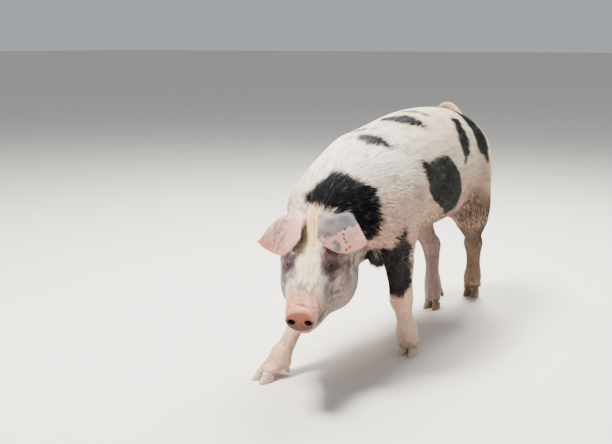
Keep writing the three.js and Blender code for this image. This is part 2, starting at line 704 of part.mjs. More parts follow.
// `throat` is the room the head takes: the foreleg that reaches forward passes just under the jowl.
function addLeg(name, throat) {
  const leg = legs[name];
  const side = sideOf(name);
  const body = fused([[trunkForm, 1], [legForm[name], filletOf(name)]]);
  const ys = [leg.foot[1], ...Object.values(leg).filter(Array.isArray).slice(0, -1).map((p) => p[1])];
  const xs = [leg.foot[0], leg.fetlock[0], leg.elbow?.[0] ?? leg.stifle[0]];
  const box = {
    low: [Math.min(...xs) - 95, Math.min(...ys) - 110, -12],
    high: [Math.max(...xs) + 95, Math.max(...ys) + 130, LEG_CUT + 36],
  };
  const turn = THREE.MathUtils.degToRad(side * leg.outward);
  const tilt = (CORONET - HEEL_HEIGHT) / CLAW_LENGTH;
  const facing = new THREE.Vector3(0, tilt, 1).applyAxisAngle(new THREE.Vector3(0, 0, 1), turn);
  let solid = solidOf(meshOf(body, box, 'leg')).intersect(belowTrunk).subtract(throat)
    .intersect(beyond([leg.foot[0], leg.foot[1], CORONET], facing.toArray()));
  const foot = name.replace('leg', '');
  for (const which of [-1, 1]) {
    const inner = which === -side ? 'inner' : 'outer';
    const dewclaw = dewclawGeometry(leg, side, which, 0);
    solid = solid.subtract(solidOf(dewclawGeometry(leg, side, which, GAP + 0.1)));
    add(`dewclaw_${foot}_${inner}`, dewclaw, COLOR.horn, 0.6);
  }
  toes(leg, side).forEach((toe, i) => {
    const inner = (i ? 1 : -1) === -side ? 'inner' : 'outer';
    add(`claw_${foot}_${inner}`, clawGeometry(leg, side, toe), COLOR.horn, 0.6);
  });
  add(name, solid, COLOR[name], 0.8);
}

addTrunk();
const throat = addHead(addNeck());
Object.keys(legs).forEach((name) => addLeg(name, throat));

// The model stands with the middle of its box over the origin.
const bounds = new THREE.Box3();
for (const piece of pieces) {
  piece.geometry.computeBoundingBox();
  bounds.union(piece.geometry.boundingBox);
}
const middle = bounds.getCenter(new THREE.Vector3());
for (const piece of pieces) {
  piece.geometry.translate(-middle.x, -middle.y, -bounds.min.z);
  root.add(piece);
}

export default root;
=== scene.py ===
# %% [markdown]
# # A spotted pig, walking
# The model is a young domestic pig as a museum would show it: one skin over the whole body,
# a coat of bristles lying over the skin, two eyes and sixteen horny hooves. The solids that come
# with it fix every size, so each step below starts from them and only makes their surface finer.

# %% Load the solids
import math

import bmesh
import bpy
import numpy as np
from mathutils import Matrix, Vector
from mathutils.bvhtree import BVHTree


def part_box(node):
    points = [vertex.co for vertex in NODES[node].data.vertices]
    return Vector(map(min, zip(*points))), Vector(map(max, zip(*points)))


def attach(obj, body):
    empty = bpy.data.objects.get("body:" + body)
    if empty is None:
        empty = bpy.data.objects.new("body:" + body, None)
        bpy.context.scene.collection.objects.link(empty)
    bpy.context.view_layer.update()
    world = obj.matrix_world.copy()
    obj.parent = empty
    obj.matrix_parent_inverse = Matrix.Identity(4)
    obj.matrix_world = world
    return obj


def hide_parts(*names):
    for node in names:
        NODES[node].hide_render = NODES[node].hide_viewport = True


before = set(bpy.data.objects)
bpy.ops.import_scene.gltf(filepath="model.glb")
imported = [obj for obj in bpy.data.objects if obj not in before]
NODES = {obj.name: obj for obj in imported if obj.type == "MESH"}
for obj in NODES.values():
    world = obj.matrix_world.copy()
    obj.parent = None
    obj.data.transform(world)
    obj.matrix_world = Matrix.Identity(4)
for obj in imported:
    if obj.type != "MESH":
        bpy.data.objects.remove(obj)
bpy.context.view_layer.update()
MM = 0.001

# %% [markdown]
# ## The viewpoint
# A person standing over two metres away and a little to the pig's left looks down at it. A 50 mm
# lens on a 36 mm sensor is what the eye expects of such a distance. The camera comes first, so
# that every later step can be looked at.

# %% Camera
CAMERA_AT = (1.1436, -2.1785, 0.88)
CAMERA_TURN = math.radians(33.42)
CAMERA_DIP = math.radians(11.892)
lens = bpy.data.cameras.new("viewpoint")
lens.lens, lens.sensor_width = 50.0, 36.0
camera = bpy.data.objects.new("viewpoint", lens)
camera.location = CAMERA_AT
camera.rotation_euler = (math.radians(90) - CAMERA_DIP, 0, CAMERA_TURN)
bpy.context.scene.collection.objects.link(camera)
bpy.context.scene.camera = camera
print("camera", CAMERA_AT)

# %% [markdown]
# ## Shader maths in Python
# A material is a graph of nodes. Written as Python, `1 - mask * 0.5` is easier to read than the
# three nodes it makes, so one small class wraps a socket and overloads the operators. Colours
# and vectors go through Mix and Vector Math nodes, because a Math node turns a colour grey.


# %% A socket that does arithmetic
class Sock:
    """An output socket of a material that takes part in Python arithmetic."""

    def __init__(self, paint, socket):
        self.paint, self.socket = paint, socket

    def math(self, operation, *others):
        return self.paint.node("ShaderNodeMath", {"operation": operation}, [self, *others])

    def __add__(self, other):
        return self.math("ADD", other)

    def __mul__(self, other):
        return self.math("MULTIPLY", other)

    def __sub__(self, other):
        return self.math("SUBTRACT", other)

    def __rsub__(self, other):
        return self.paint.node("ShaderNodeMath", {"operation": "SUBTRACT"}, [other, self])

    __radd__, __rmul__ = __add__, __mul__

    def clip(self):
        return self.math("MINIMUM", 1.0).math("MAXIMUM", 0.0)


# %% A material and its nodes
class Paint:
    def __init__(self, name):
        self.material = bpy.data.materials.new(name)
        self.material.use_nodes = True
        self.tree = self.material.node_tree
        self.shader = self.tree.nodes["Principled BSDF"]

    def feed(self, socket, value):
        if isinstance(value, Sock):
            self.tree.links.new(value.socket, socket)
        else:
            socket.default_value = value

    def node(self, kind, settings, values, output=0):
        made = self.tree.nodes.new(kind)
        for name, value in settings.items():
            if name == "stops":
                self.set_stops(made.color_ramp, value)
            else:
                setattr(made, name, value)
        pairs = values.items() if isinstance(values, dict) else enumerate(values)
        for name, value in pairs:
            self.feed(made.inputs[name], value)
        return Sock(self, made.outputs[output])

    def set_stops(self, ramp, stops):
        while len(ramp.elements) < len(stops):
            ramp.elements.new(1.0)
        for element, (place, value) in zip(ramp.elements, stops):
            element.position, element.color = place, (value, value, value, 1)

    def mix(self, factor, first, second, blend="MIX"):
        settings = {"data_type": "RGBA", "blend_type": blend}
        return self.node("ShaderNodeMix", settings, {0: factor, 6: first, 7: second}, 2)

    def place(self):
        return self.node("ShaderNodeTexCoord", {}, {}, "Object")

    def noise(self, scale, detail=4.0, where=None):
        values = {"Vector": where or self.place(), "Scale": scale, "Detail": detail, "Roughness": 0.55}
        return self.node("ShaderNodeTexNoise", {}, values, "Fac")

    def ramp(self, value, *stops):
        return self.node("ShaderNodeValToRGB", {"stops": stops}, [value], "Color")

    def attribute(self, name):
        return self.node("ShaderNodeAttribute", {"attribute_name": name}, {}, "Color")

    def bump(self, height, depth, strength=1.0, normal=None):
        values = {"Strength": strength, "Distance": depth, "Height": height}
        if normal:
            values["Normal"] = normal
        return self.node("ShaderNodeBump", {}, values, "Normal")

    def finish(self, **sockets):
        for name, value in sockets.items():
            self.feed(self.shader.inputs[name.replace("_", " ")], value)
        return self.material


# %% [markdown]
# A painter writes a colour as a hex code, made for the eye. Shaders count light, so each code is
# turned into linear light first.


# %% Colours from hex codes
def tone(code):
    """A colour given as a painter's hex code, in the linear light that shaders use."""
    part = np.array([int(code[i:i + 2], 16) for i in (0, 2, 4)]) / 255
    return np.where(part < 0.04045, part / 12.92, ((part + 0.055) / 1.055) ** 2.4)


def rgba(code):
    """The same with full opacity, as a colour socket takes it."""
    return (*tone(code), 1.0)


print("white is", tone("ffffff").tolist())

# %% [markdown]
# ## One skin from ten solids
# The flesh comes as ten solids with hair-thin gaps between them, so that each can be named. A
# pig has one hide. The solids are swollen by half a millimetre to close the gaps, joined, and
# remeshed into one even net of small quads. The net is then relaxed, a lot on the trunk, where
# the facets are broad, and hardly at all on the ears and the snout, which are already fine.

# %% Read the solids as arrays
FLESH = ["trunk", "neck", "head", "tail", "ear_left", "ear_right",
         "foreleg_left", "foreleg_right", "hindleg_left", "hindleg_right"]
EYES = ["eye_left", "eye_right"]
SWELL = 0.5 * MM


def mesh_arrays(mesh):
    """Points and triangles of a mesh."""
    mesh.calc_loop_triangles()
    points = np.empty(len(mesh.vertices) * 3)
    mesh.vertices.foreach_get("co", points)
    corners = np.empty(len(mesh.loop_triangles) * 3, np.int64)
    mesh.loop_triangles.foreach_get("vertices", corners)
    return points.reshape(-1, 3), corners.reshape(-1, 3)


def solid_arrays(name):
    """A solid's welded corner points and triangles."""
    points, faces = mesh_arrays(NODES[name].data)
    points, back = np.unique(points.round(6), axis=0, return_inverse=True)
    return points, back.reshape(-1)[faces]


# %% Swell a solid and join several
def point_normals(points, faces):
    """Area-weighted normals of a net of triangles or quads."""
    if faces.shape[1] == 4:
        cross = np.cross(points[faces[:, 2]] - points[faces[:, 0]],
                         points[faces[:, 3]] - points[faces[:, 1]])
    else:
        cross = np.cross(points[faces[:, 1]] - points[faces[:, 0]],
                         points[faces[:, 2]] - points[faces[:, 0]])
    total = np.stack([sum(np.bincount(faces[:, k], cross[:, axis], len(points))
                          for k in range(faces.shape[1])) for axis in range(3)], 1)
    return total / np.maximum(np.linalg.norm(total, axis=1, keepdims=True), 1e-12)


def grown(name, amount):
    """A solid swollen by an amount along its normals."""
    points, faces = solid_arrays(name)
    return points + point_normals(points, faces) * amount, faces


def stacked(parts):
    """Several (points, faces) pairs as one pair."""
    starts = np.cumsum([0] + [len(points) for points, faces in parts])
    faces = [faces + start for (points, faces), start in zip(parts, starts)]
    return np.concatenate([points for points, _ in parts]), np.concatenate(faces)


# %% Make an object from arrays
def new_object(name, points, faces):
    """A mesh object from arrays, on the scene and smooth-shaded."""
    mesh = bpy.data.meshes.new(name)
    mesh.vertices.add(len(points))
    mesh.vertices.foreach_set("co", np.ascontiguousarray(points, np.float32).ravel())
    mesh.loops.add(faces.size)
    mesh.loops.foreach_set("vertex_index", np.ascontiguousarray(faces, np.int32).ravel())
    mesh.polygons.add(len(faces))
    mesh.polygons.foreach_set("loop_start", np.arange(0, faces.size, faces.shape[1], dtype=np.int32))
    mesh.update(calc_edges=True)
    mesh.validate()
    mesh.shade_smooth()
    made = bpy.data.objects.new(name, mesh)
    bpy.context.scene.collection.objects.link(made)
    return made


# %% Use a modifier as a tool
def modified(source, kind, **settings):
    """The mesh that one modifier makes of an object."""
    modifier = source.modifiers.new(kind, kind)
    for name, value in settings.items():
        setattr(modifier, name, value)
    shape = source.evaluated_get(bpy.context.evaluated_depsgraph_get())
    mesh = bpy.data.meshes.new_from_object(shape)
    source.modifiers.clear()
    return mesh


def mesh_edges(mesh):
    """The pairs of points that the edges of a mesh join."""
    edges = np.empty(len(mesh.edges) * 2, np.int64)
    mesh.edges.foreach_get("vertices", edges)
    return edges.reshape(-1, 2)


# %% Remesh the joined flesh
NET = 3.1 * MM
joined = new_object("joined", *stacked([grown(name, SWELL) for name in FLESH + EYES]))
net = modified(joined, "REMESH", mode="VOXEL", voxel_size=NET)
bpy.data.objects.remove(joined)
skin_points, skin_faces = mesh_arrays(net)
skin_edges = mesh_edges(net)
print("remeshed", len(skin_points), "points")


# %% Keep the largest piece
def largest_piece(points, faces, edges):
    """Only the largest connected piece: any pocket closed inside the body is left behind."""
    label = np.arange(len(points))
    settled = False
    while not settled:
        low = np.minimum(label[edges[:, 0]], label[edges[:, 1]])
        lower = label.copy()
        np.minimum.at(lower, edges[:, 0], low)
        np.minimum.at(lower, edges[:, 1], low)
        lower = lower[lower]
        settled = np.array_equal(lower, label)
        label = lower
    kept = label == np.bincount(label).argmax()
    number = np.cumsum(kept) - 1
    return points[kept], number[faces[kept[faces[:, 0]]]], number[edges[kept[edges[:, 0]]]]


skin_points, skin_faces, skin_edges = largest_piece(skin_points, skin_faces, skin_edges)
print("net", len(skin_points), "points")

# %% [markdown]
# Each point of the net remembers which solid it lies on, because the relaxing, the lie of the
# hair and its length all differ from part to part. A search tree over the solids finds it.

# %% Which solid each point belongs to
sources = [solid_arrays(name) for name in FLESH]
source_points, source_faces = stacked(sources)
source_of_face = np.repeat(np.arange(len(FLESH)), [len(faces) for _, faces in sources])
source_tree = BVHTree.FromPolygons(source_points.tolist(), source_faces.tolist())
TRUNK, NECK, HEAD, TAIL, EAR_LEFT, EAR_RIGHT, FORE_LEFT, FORE_RIGHT, HIND_LEFT, HIND_RIGHT = range(10)


def part_of(points):
    """For each point, the number of the flesh solid nearest to it."""
    return source_of_face[[source_tree.find_nearest(p)[2] for p in points.tolist()]]


# %% Relax values over the net
def neighbour_mean(values, edges):
    """The mean of each point's neighbours, for one or more columns of values."""
    count = len(values)
    a, b = edges[:, 0], edges[:, 1]
    degree = np.maximum(np.bincount(a, minlength=count) + np.bincount(b, minlength=count), 1)
    flat = values.reshape(count, -1)
    sums = [np.bincount(a, flat[b, k], count) + np.bincount(b, flat[a, k], count)
            for k in range(flat.shape[1])]
    return (np.stack(sums, 1) / degree[:, None]).reshape(values.shape)


def relaxed(values, edges, share, rounds):
    """Values moved towards their neighbours' mean, by a share of the way, some rounds long."""
    share = np.broadcast_to(share, len(values)).reshape(-1, *[1] * (values.ndim - 1))
    for _ in range(rounds):
        values = values + (neighbour_mean(values, edges) - values) * share
    return values


part = part_of(skin_points)
print("points on each part", dict(zip(FLESH, np.bincount(part, minlength=10).tolist())))

# %% [markdown]
# The head has its own frame: x to the pig's left, y from the muzzle back to the poll, z out of
# the forehead. Everything on the face is placed in it, in millimetres, so that a brow or a
# nostril can be given as a person would measure it on the pig.

# %% The head's frame
HEAD_AT = Vector((-14.6, -379.9, 450.0)) * MM
HEAD_TURN, HEAD_NOD, HEAD_TILT = (math.radians(a) for a in (22.4, 33.0, -0.5))
head_axes = np.array(Matrix.Rotation(HEAD_TURN, 3, "Z") @ Matrix.Rotation(HEAD_NOD, 3, "X")
                     @ Matrix.Rotation(HEAD_TILT, 3, "Y"))


def on_head(*place):
    """A place on the head, in millimetres of its own frame, as a point of the model."""
    return head_axes @ (np.array(place) * MM) + np.array(HEAD_AT)


def head_place(points):
    """Points of the model in millimetres of the head's frame."""
    return (points - np.array(HEAD_AT)) @ head_axes / MM


EYE_AT = {name: np.array(sum(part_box(name), Vector()) / 2) for name in EYES}
EYE_RADIUS = (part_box("eye_left")[1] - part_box("eye_left")[0]).z / 2
print("eyes on the head", {n: head_place(p).round(1).tolist() for n, p in EYE_AT.items()}, EYE_RADIUS)

# %% [markdown]
# Relaxing smooths the facets and also shrinks the form: a leg grows thin. So the loss is measured
# against the solids, softened so that the facets don't come back, and given back along the
# normals. The skin ends under the solids' surface by the depth of its coat.

# %% Relax the facets away
RELAX_ROUNDS, SHARE_ROUNDS, DEPTH_ROUNDS, PUSH_ROUNDS = 90, 8, 20, 40
# One value for each solid of the flesh, in the order of FLESH.
RELAX_SHARE = np.array([0.80, 0.55, 0.13, 0.02, 0.02, 0.02, 0.10, 0.10, 0.10, 0.10])
COAT_DEPTH = np.array([3.2, 2.6, 1.2, 0.6, 0.2, 0.2, 1.3, 1.3, 1.3, 1.3]) * MM
SNOUT_SHARE = 0.012


def near(points, centre, full, none):
    """1 within the distance full of a centre, falling to 0 at the distance none."""
    away = np.linalg.norm(points - centre, axis=1)
    t = np.clip((none - away) / (none - full), 0, 1)
    return t * t * (3 - 2 * t)


snout_at = on_head(2, -298, -66)
keep = near(skin_points, snout_at, 45 * MM, 75 * MM)
share = RELAX_SHARE[part] * (1 - keep) + SNOUT_SHARE * keep
share = relaxed(share, skin_edges, 0.5, SHARE_ROUNDS)
skin_points = relaxed(skin_points, skin_edges, share, RELAX_ROUNDS)
depth = relaxed(COAT_DEPTH[part], skin_edges, 0.5, DEPTH_ROUNDS)
depth = depth * (1 - near(skin_points, snout_at, 30 * MM, 60 * MM))
skin_normals = point_normals(skin_points, skin_faces)
solid_places = np.array([source_tree.find_nearest(p)[0] for p in skin_points.tolist()])
shrunk = relaxed(np.sum((solid_places - skin_points) * skin_normals, 1), skin_edges, 0.5, PUSH_ROUNDS)
print("relaxing took", (shrunk.mean() / MM).round(2), "mm on average,",
      (shrunk.max() / MM).round(2), "at most")
skin_points = skin_points + skin_normals * (shrunk - depth)[:, None]
print("relaxed; coat depth", (depth.min() / MM).round(2), "to", (depth.max() / MM).round(2), "mm")

# %% [markdown]
# ## A finer net on the face
# Lids, nostrils and the folds of the muzzle are a few millimetres across, finer than the net.
# Only there is it divided again: once over the muzzle, twice round the eyes and the nostrils.

# %% Divide the net where detail is needed
def divided(points, faces, wanted):
    """The net with each wanted face cut into four."""
    coarse = bpy.data.meshes.new("net")
    coarse.from_pydata(points.tolist(), [], faces.tolist())
    form = bmesh.new()
    form.from_mesh(coarse)
    form.faces.ensure_lookup_table()
    edges = {edge for k in np.flatnonzero(wanted) for edge in form.faces[k].edges}
    bmesh.ops.subdivide_edges(form, edges=list(edges), cuts=1, use_grid_fill=True)
    bmesh.ops.triangulate(form, faces=form.faces)
    mesh = bpy.data.meshes.new("finer")
    form.to_mesh(mesh)
    form.free()
    points, faces = mesh_arrays(mesh)
    return points, faces, mesh_edges(mesh)


NOSTRILS = [on_head(2 + side * 20.5, -300, -67) for side in (1, -1)]
for eye_reach, snout_reach, nostril_reach in ((42, 66, 30), (23, 0, 17)):
    centres = skin_points[skin_faces].mean(1)
    fine = np.linalg.norm(centres - snout_at, axis=1) < snout_reach * MM
    for places, reach in ((EYE_AT.values(), eye_reach), (NOSTRILS, nostril_reach)):
        for place in places:
            fine |= np.linalg.norm(centres - place, axis=1) < reach * MM
    skin_points, skin_faces, skin_edges = divided(skin_points, skin_faces, fine)
part = part_of(skin_points)
soft = np.isin(part, (HEAD, EAR_LEFT, EAR_RIGHT)) * 0.4
skin_points = relaxed(skin_points, skin_edges, soft, 3)
print("finer net", len(skin_points), "points", len(skin_faces), "triangles")

# %% [markdown]
# ## Folds, lids and the muzzle
# A sculptor draws with a soft tool that raises or presses the surface along a line. `stroke`
# does the same: it moves the points near a path in or out along their normals.

# %% The sculptor's tool
skin_tree = BVHTree.FromPolygons(skin_points.tolist(), skin_faces.tolist())


def on_skin(path, steps=4):
    """A path made finer and laid on the skin."""
    path = [np.asarray(p, float) for p in path]
    finer = [a + (b - a) * k / steps for a, b in zip(path, path[1:]) for k in range(steps)]
    return [np.array(skin_tree.find_nearest(p.tolist())[0]) for p in finer + [path[-1]]]


def along(points, path):
    """Distance of each point from a path of straight pieces, and how far along it lies."""
    best, where = np.full(len(points), 1e9), np.zeros(len(points))
    for k, (a, b) in enumerate(zip(path, path[1:])):
        t = np.clip((points - a) @ (b - a) / max((b - a) @ (b - a), 1e-12), 0, 1)
        away = np.linalg.norm(points - a - t[:, None] * (b - a), axis=1)
        closer = away < best
        best, where = np.where(closer, away, best), np.where(closer, k + t, where)
    return best, where / (len(path) - 1)


# %% Strokes and dabs
def stroke(path, width, height, fade=0.3):
    """Raise (or press, below zero) the skin along a path; width and height in millimetres."""
    global skin_points
    path = on_skin(path)
    middle = (np.min(path, 0) + np.max(path, 0)) / 2
    reach = np.linalg.norm(np.max(path, 0) - np.min(path, 0)) / 2 + width * MM
    close = np.flatnonzero(np.linalg.norm(skin_points - middle, axis=1) < reach)
    away, t = along(skin_points[close], path)
    ends = np.clip(np.minimum(t, 1 - t) / fade, 0, 1) if fade else 1.0
    amount = np.clip(1 - (away / (width * MM)) ** 2, 0, 1) ** 2 * ends * height * MM
    skin_points[close] += skin_normals[close] * amount[:, None]


def dab(place, width, height):
    """A round bump or dimple."""
    stroke([place, place + np.array([0, 0, 1e-5])], width, height, 0)


def both(*path):
    """The same path on either side of the head, from places in its frame."""
    return [on_head(*p) for p in path], [on_head(3 - p[0], *p[1:]) for p in path]


def body(*path):
    """A path on the body, in millimetres of the model."""
    return [np.array(p) * MM for p in path]


skin_normals = point_normals(skin_points, skin_faces)
print("tool ready")

# %% [markdown]
# The face first: the ridge of the brow, the hollow below it, the pad of the cheek, and the fold
# that runs from the corner of the mouth. The bridge of the snout wrinkles across where the disc
# of the snout is pulled up to root in the soil.

# %% Folds of the face
for start, middle, end, width, height in [
        ((26, -104, -30), (42, -114, -28), (58, -124, -36), 14, 3.6),
        ((30, -152, -48), (46, -162, -56), (66, -158, -64), 9, 2.0),
        ((32, -168, -54), (50, -178, -66), (74, -168, -82), 6, -1.8),
        ((40, -186, -70), (62, -190, -92), (84, -170, -116), 12, 1.6),
        ((60, -210, -104), (74, -186, -116), (92, -158, -124), 9, -2.0),
        ((34, -60, -2), (26, -90, -12), (20, -120, -22), 12, -2.2)]:
    for path in both(start, middle, end):
        stroke(path, width, height)
for k, y in enumerate((-236, -247, -257, -266, -274)):
    half = 26 - 2 * abs(k - 2)
    wrinkle = [on_head(2 + x, y - abs(x) * 0.25 + 2 * (k % 2), -30)
               for x in (-half, -half / 2, 0, half / 2, half)]
    stroke(wrinkle, 4.2, -1.5 - 0.15 * k)
print("brow, cheek and five wrinkles over the snout")

# %% Disc, nostrils and mouth
SNOUT_WIDE, SNOUT_TALL = 33, 29
ring = [on_head(2 + SNOUT_WIDE * math.sin(a), -298, -66 + SNOUT_TALL * math.cos(a))
        for a in np.linspace(0, 2 * math.pi, 25)]
back_ring = [on_head(2 + 35 * math.sin(a), -276, -65 + 32 * math.cos(a))
             for a in np.linspace(0, 2 * math.pi, 25)]
stroke(ring, 6, 1.6, 0)
stroke(back_ring, 7, -1.2, 0)
stroke([on_head(*p) for p in ((-20, -280, -106), (2, -286, -110), (24, -280, -106))], 12, 5.0, 0.2)
into_head = head_axes @ np.array([0, 1.0, 0])
for centre in NOSTRILS:
    place = (skin_points - centre) @ head_axes / MM
    round_hole = np.hypot(place[:, 0] / 8.6, place[:, 2] / 7.8)
    front = (place[:, 1] > -8) & (place[:, 1] < 14)
    rim = np.exp(-((round_hole - 1.25) / 0.28) ** 2) * front * 1.5
    deep = np.clip((1.05 - round_hole) / 0.35, 0, 1) * front * (13 - np.clip(place[:, 1], 0, 13))
    skin_points += into_head * ((deep - rim) * MM)[:, None]
for path in both((4, -291, -103), (22, -288, -101), (38, -272, -95), (47, -244, -99), (54, -214, -108)):
    stroke(path, 4.5, -4.5, 0.12)
    stroke([p + np.array([0, 0, -7 * MM]) for p in path], 6, 1.6, 0.2)
print("nostrils", [n.round(3).tolist() for n in NOSTRILS])

# %% [markdown]
# A pig's eye is small and sits deep. The lids lie on the ball, so the skin round each eye is
# drawn to a sphere a little larger than the ball, except inside an almond, where it drops behind
# the ball. The step between the two is the thick rim of the lid.

# %% Eyelids
LID, LID_WIDE, LID_HIGH, LID_LOW, LID_REACH = 1.5, 10.2, 3.1, 2.2, 24
LOOK = {"eye_left": (0.80, -0.42, 0.42), "eye_right": (-0.80, -0.42, 0.42)}
eye_axes = {}
for name, centre in EYE_AT.items():
    look = head_axes @ (np.array(LOOK[name]) / np.linalg.norm(LOOK[name]))
    side = 1 if name == "eye_left" else -1
    snoutward = head_axes @ np.array([-0.66 * side, -0.66, -0.20])
    snoutward -= look * (snoutward @ look)
    snoutward /= np.linalg.norm(snoutward)
    brow = np.cross(look, snoutward) * -side
    eye_axes[name] = np.stack([snoutward, brow, look], 1)
    place = (skin_points - centre) @ eye_axes[name] / MM
    across, up, out = place.T
    bow = 1 - (across / LID_WIDE) ** 2
    inside = np.minimum(LID_HIGH * bow - up, up + LID_LOW * bow)
    away = np.linalg.norm(place, axis=1)
    ball = EYE_RADIUS / MM
    active = (out > 0) & (away < LID_REACH)
    drape = np.clip(1 + inside / 5, 0, 1) * active
    lid = np.maximum(away, ball + LID)
    lid = lid + (ball + LID - lid) * drape ** 2
    rim = np.clip((inside + 0.5) / 1.0, 0, 1)
    wanted = lid * (1 - rim) + (ball - 3.0) * rim
    change = np.where(active, wanted - away, 0)
    skin_points += (eye_axes[name] @ (place / away[:, None]).T).T * (change * MM)[:, None]
skin_normals = point_normals(skin_points, skin_faces)
skin_tree = BVHTree.FromPolygons(skin_points.tolist(), skin_faces.tolist())
print("lids", LID_WIDE * 2, "by", LID_HIGH + LID_LOW, "mm")

# %% [markdown]
# Above and below each eye a groove follows the lid, and a soft fold lies beyond the groove.


# %% Folds round the eyes
def by_eye(name, across, up):
    """A place before an eye, in millimetres towards the snout and towards the brow."""
    return EYE_AT[name] + eye_axes[name] @ (np.array([across, up, 11.0]) * MM)


arc = np.linspace(-1.15, 1.15, 7)
for name in EYES:
    for wide, high, bend, width, height in [(11, 10.5, 0.45, 2.4, -1.3), (12, 15.5, 0.35, 3.2, 1.4),
                                            (11, -8.5, 0.45, 2.2, -1.2), (12.5, -12.5, 0.4, 2.6, 1.1)]:
        stroke([by_eye(name, wide * t, high * (1 - bend * t * t)) for t in arc], width, height)
print("four folds round each eye")

# %% [markdown]
# ## Folds of the body
# Skin creases where limbs swing: behind the jowl, in front of the shoulder, behind the elbow and
# in the web between belly and thigh. The feet part into two toes, and the knees and the bottom
# of the belly, with its two rows of teats, get small forms of their own.

# %% Folds of the body
def sides(shift, *path):
    """A path on the pig's left, and the same on its right, its y greater by a shift."""
    return body(*path), body(*[(-x, y + shift, z) for x, y, z in path])


for paths, width, height in [
        ([body((96, -352, 420), (104, -352, 372), (84, -352, 330), (46, -350, 300)),
          body((-96, -372, 440), (-104, -372, 392), (-84, -372, 340), (-46, -370, 305))], 16, -4.5),
        ([body((150, -178, 392), (146, -150, 350), (132, -138, 312)),
          body((-150, -262, 392), (-146, -242, 350), (-132, -232, 312))], 14, -5.0),
        ([body((150, -300, 470), (158, -285, 420), (150, -282, 372))], 22, 2.5),
        (sides(-40, (150, 205, 430), (128, 226, 386), (108, 240, 345)), 14, -4.5),
        (sides(-40, (142, 232, 420), (120, 250, 376), (100, 262, 336)), 13, 3.5),
        ([body((0, 486, 590), (0, 492, 540), (2, 470, 480), (0, 430, 430))], 26, -8.0),
        ([body((0, -300, 640), (0, -200, 650), (0, -60, 680))], 30, 2.0),
        ([body((148, -262, 540), (158, -250, 480), (154, -246, 420)),
          body((-148, -330, 540), (-158, -318, 480), (-154, -310, 420))], 58, 4.5),
        (sides(-70, (166, -160, 540), (170, -140, 470), (156, -130, 400)), 42, -4.5),
        (sides(-40, (150, 170, 560), (156, 196, 500), (140, 214, 440)), 46, -5.0),
        (sides(-40, (104, 286, 628), (130, 296, 590)), 50, 4.0),
        ([body((162, -64, 455), (152, -46, 415), (132, -30, 368))], 13, -5.0),
        ([body((154, -24, 440), (140, -8, 390), (118, 0, 350))], 16, 3.0),
        ([body((102, -276, 320), (122, -286, 314), (142, -282, 322))], 26, 14.0)]:
    for path in paths:
        stroke(path, width, height)
TOE_REACH, CLEFT_LOW, CLEFT_STEP = 46, 12, 34
for x, y, turn, lean in ((109, -79, 0, 4), (-125, -464, -0.34, 26), (33, 569, 0, 4), (-22, 361, 0, 4)):
    toes = np.array([x, y, 0]) + np.array([turn, -1, 0]) * TOE_REACH
    cleft = [(toes + np.array([0, lean * k / 2, CLEFT_LOW + CLEFT_STEP * k])) * MM for k in range(3)]
    stroke(cleft, 11, -6.0)
for x in (-34, 34):
    for y in (-130, -70, -10, 50, 110, 170):
        dab(np.array([x + 4, y, 280]) * MM, 6.5, 6.0)
for x, y, z in ((110, -160, 190), (112, -162, 176), (-98, -330, 190), (-99, -338, 176)):
    stroke(body((x - 18, y + 4, z), (x, y - 6, z + 2), (x + 18, y + 4, z)), 5, -1.6)
print("folds, clefts, knees and twelve teats")

# %% [markdown]
# ## Lighten the net where the coat hides it
# The coat covers trunk, neck and legs, so their net may be coarser there. Decimation takes
# triangles away where a weight allows it, and leaves the face and ears alone.

# %% Decimate the body
SKIN_BUDGET = 188_000
part = part_of(skin_points)
draft = new_object("draft", skin_points, skin_faces)
thin_out = draft.vertex_groups.new(name="body")
thin_out.add([int(k) for k in np.flatnonzero(~np.isin(part, (HEAD, EAR_LEFT, EAR_RIGHT)))], 1.0, "REPLACE")
net = modified(draft, "DECIMATE", ratio=min(1.0, SKIN_BUDGET / len(skin_faces)), vertex_group="body",
               vertex_group_factor=1.0)
bpy.data.objects.remove(draft)
skin_points, skin_faces = mesh_arrays(net)
skin_edges = mesh_edges(net)
skin_normals = point_normals(skin_points, skin_faces)
skin_tree = BVHTree.FromPolygons(skin_points.tolist(), skin_faces.tolist())
part = part_of(skin_points)
print("skin", len(skin_points), "points", len(skin_faces), "triangles")

# %% [markdown]
# ## Markings
# Skin and coat carry the same markings, so both ask the same functions for their colour. A
# marking is a path on the body with a width; its edge is ragged and drawn out backwards, the way
# the bristles lie. The noise that does it is a lattice of random values with smooth steps
# between them, seeded, so that it is the same at every run.

# %% Smooth random values in space
CORNERS = np.array([(i, j, k) for i in (0, 1) for j in (0, 1) for k in (0, 1)])


def rough(points, size, seed=0):
    """Smooth random values from -1 to 1, with hills about `size` millimetres across."""
    q = points / MM / np.asarray(size, float) + 500.0
    cell = np.floor(q).astype(np.int64)
    f = q - cell
    f = f * f * (3 - 2 * f)
    total = np.zeros(len(points))
    for corner in CORNERS:
        c = cell + corner
        key = c[:, 0] * 73856093 ^ c[:, 1] * 19349663 ^ c[:, 2] * 83492791 ^ (seed * 2654435761)
        key = key & 0xFFFFFFFF
        key = ((key ^ (key >> 15)) * 2246822519) & 0xFFFFFFFF
        key = ((key ^ (key >> 13)) * 3266489917) & 0xFFFFFFFF
        value = ((key ^ (key >> 16)) & 0xFFFF) / 32767.5 - 1
        total += value * np.prod(np.where(corner, f, 1 - f), 1)
    return total


def step(value, low, high):
    """0 below low, 1 above high, and a smooth slope between them."""
    t = np.clip((value - low) / (high - low), 0, 1)
    return t * t * (3 - 2 * t)


def ragged(points, seed=1):
    """How far, in millimetres, a marking's edge strays at each point."""
    return (rough(points, (16, 46, 16), seed) * 9 + rough(points, (6, 24, 6), seed + 1) * 6
            + rough(points, (3, 10, 3), seed + 2) * 3)


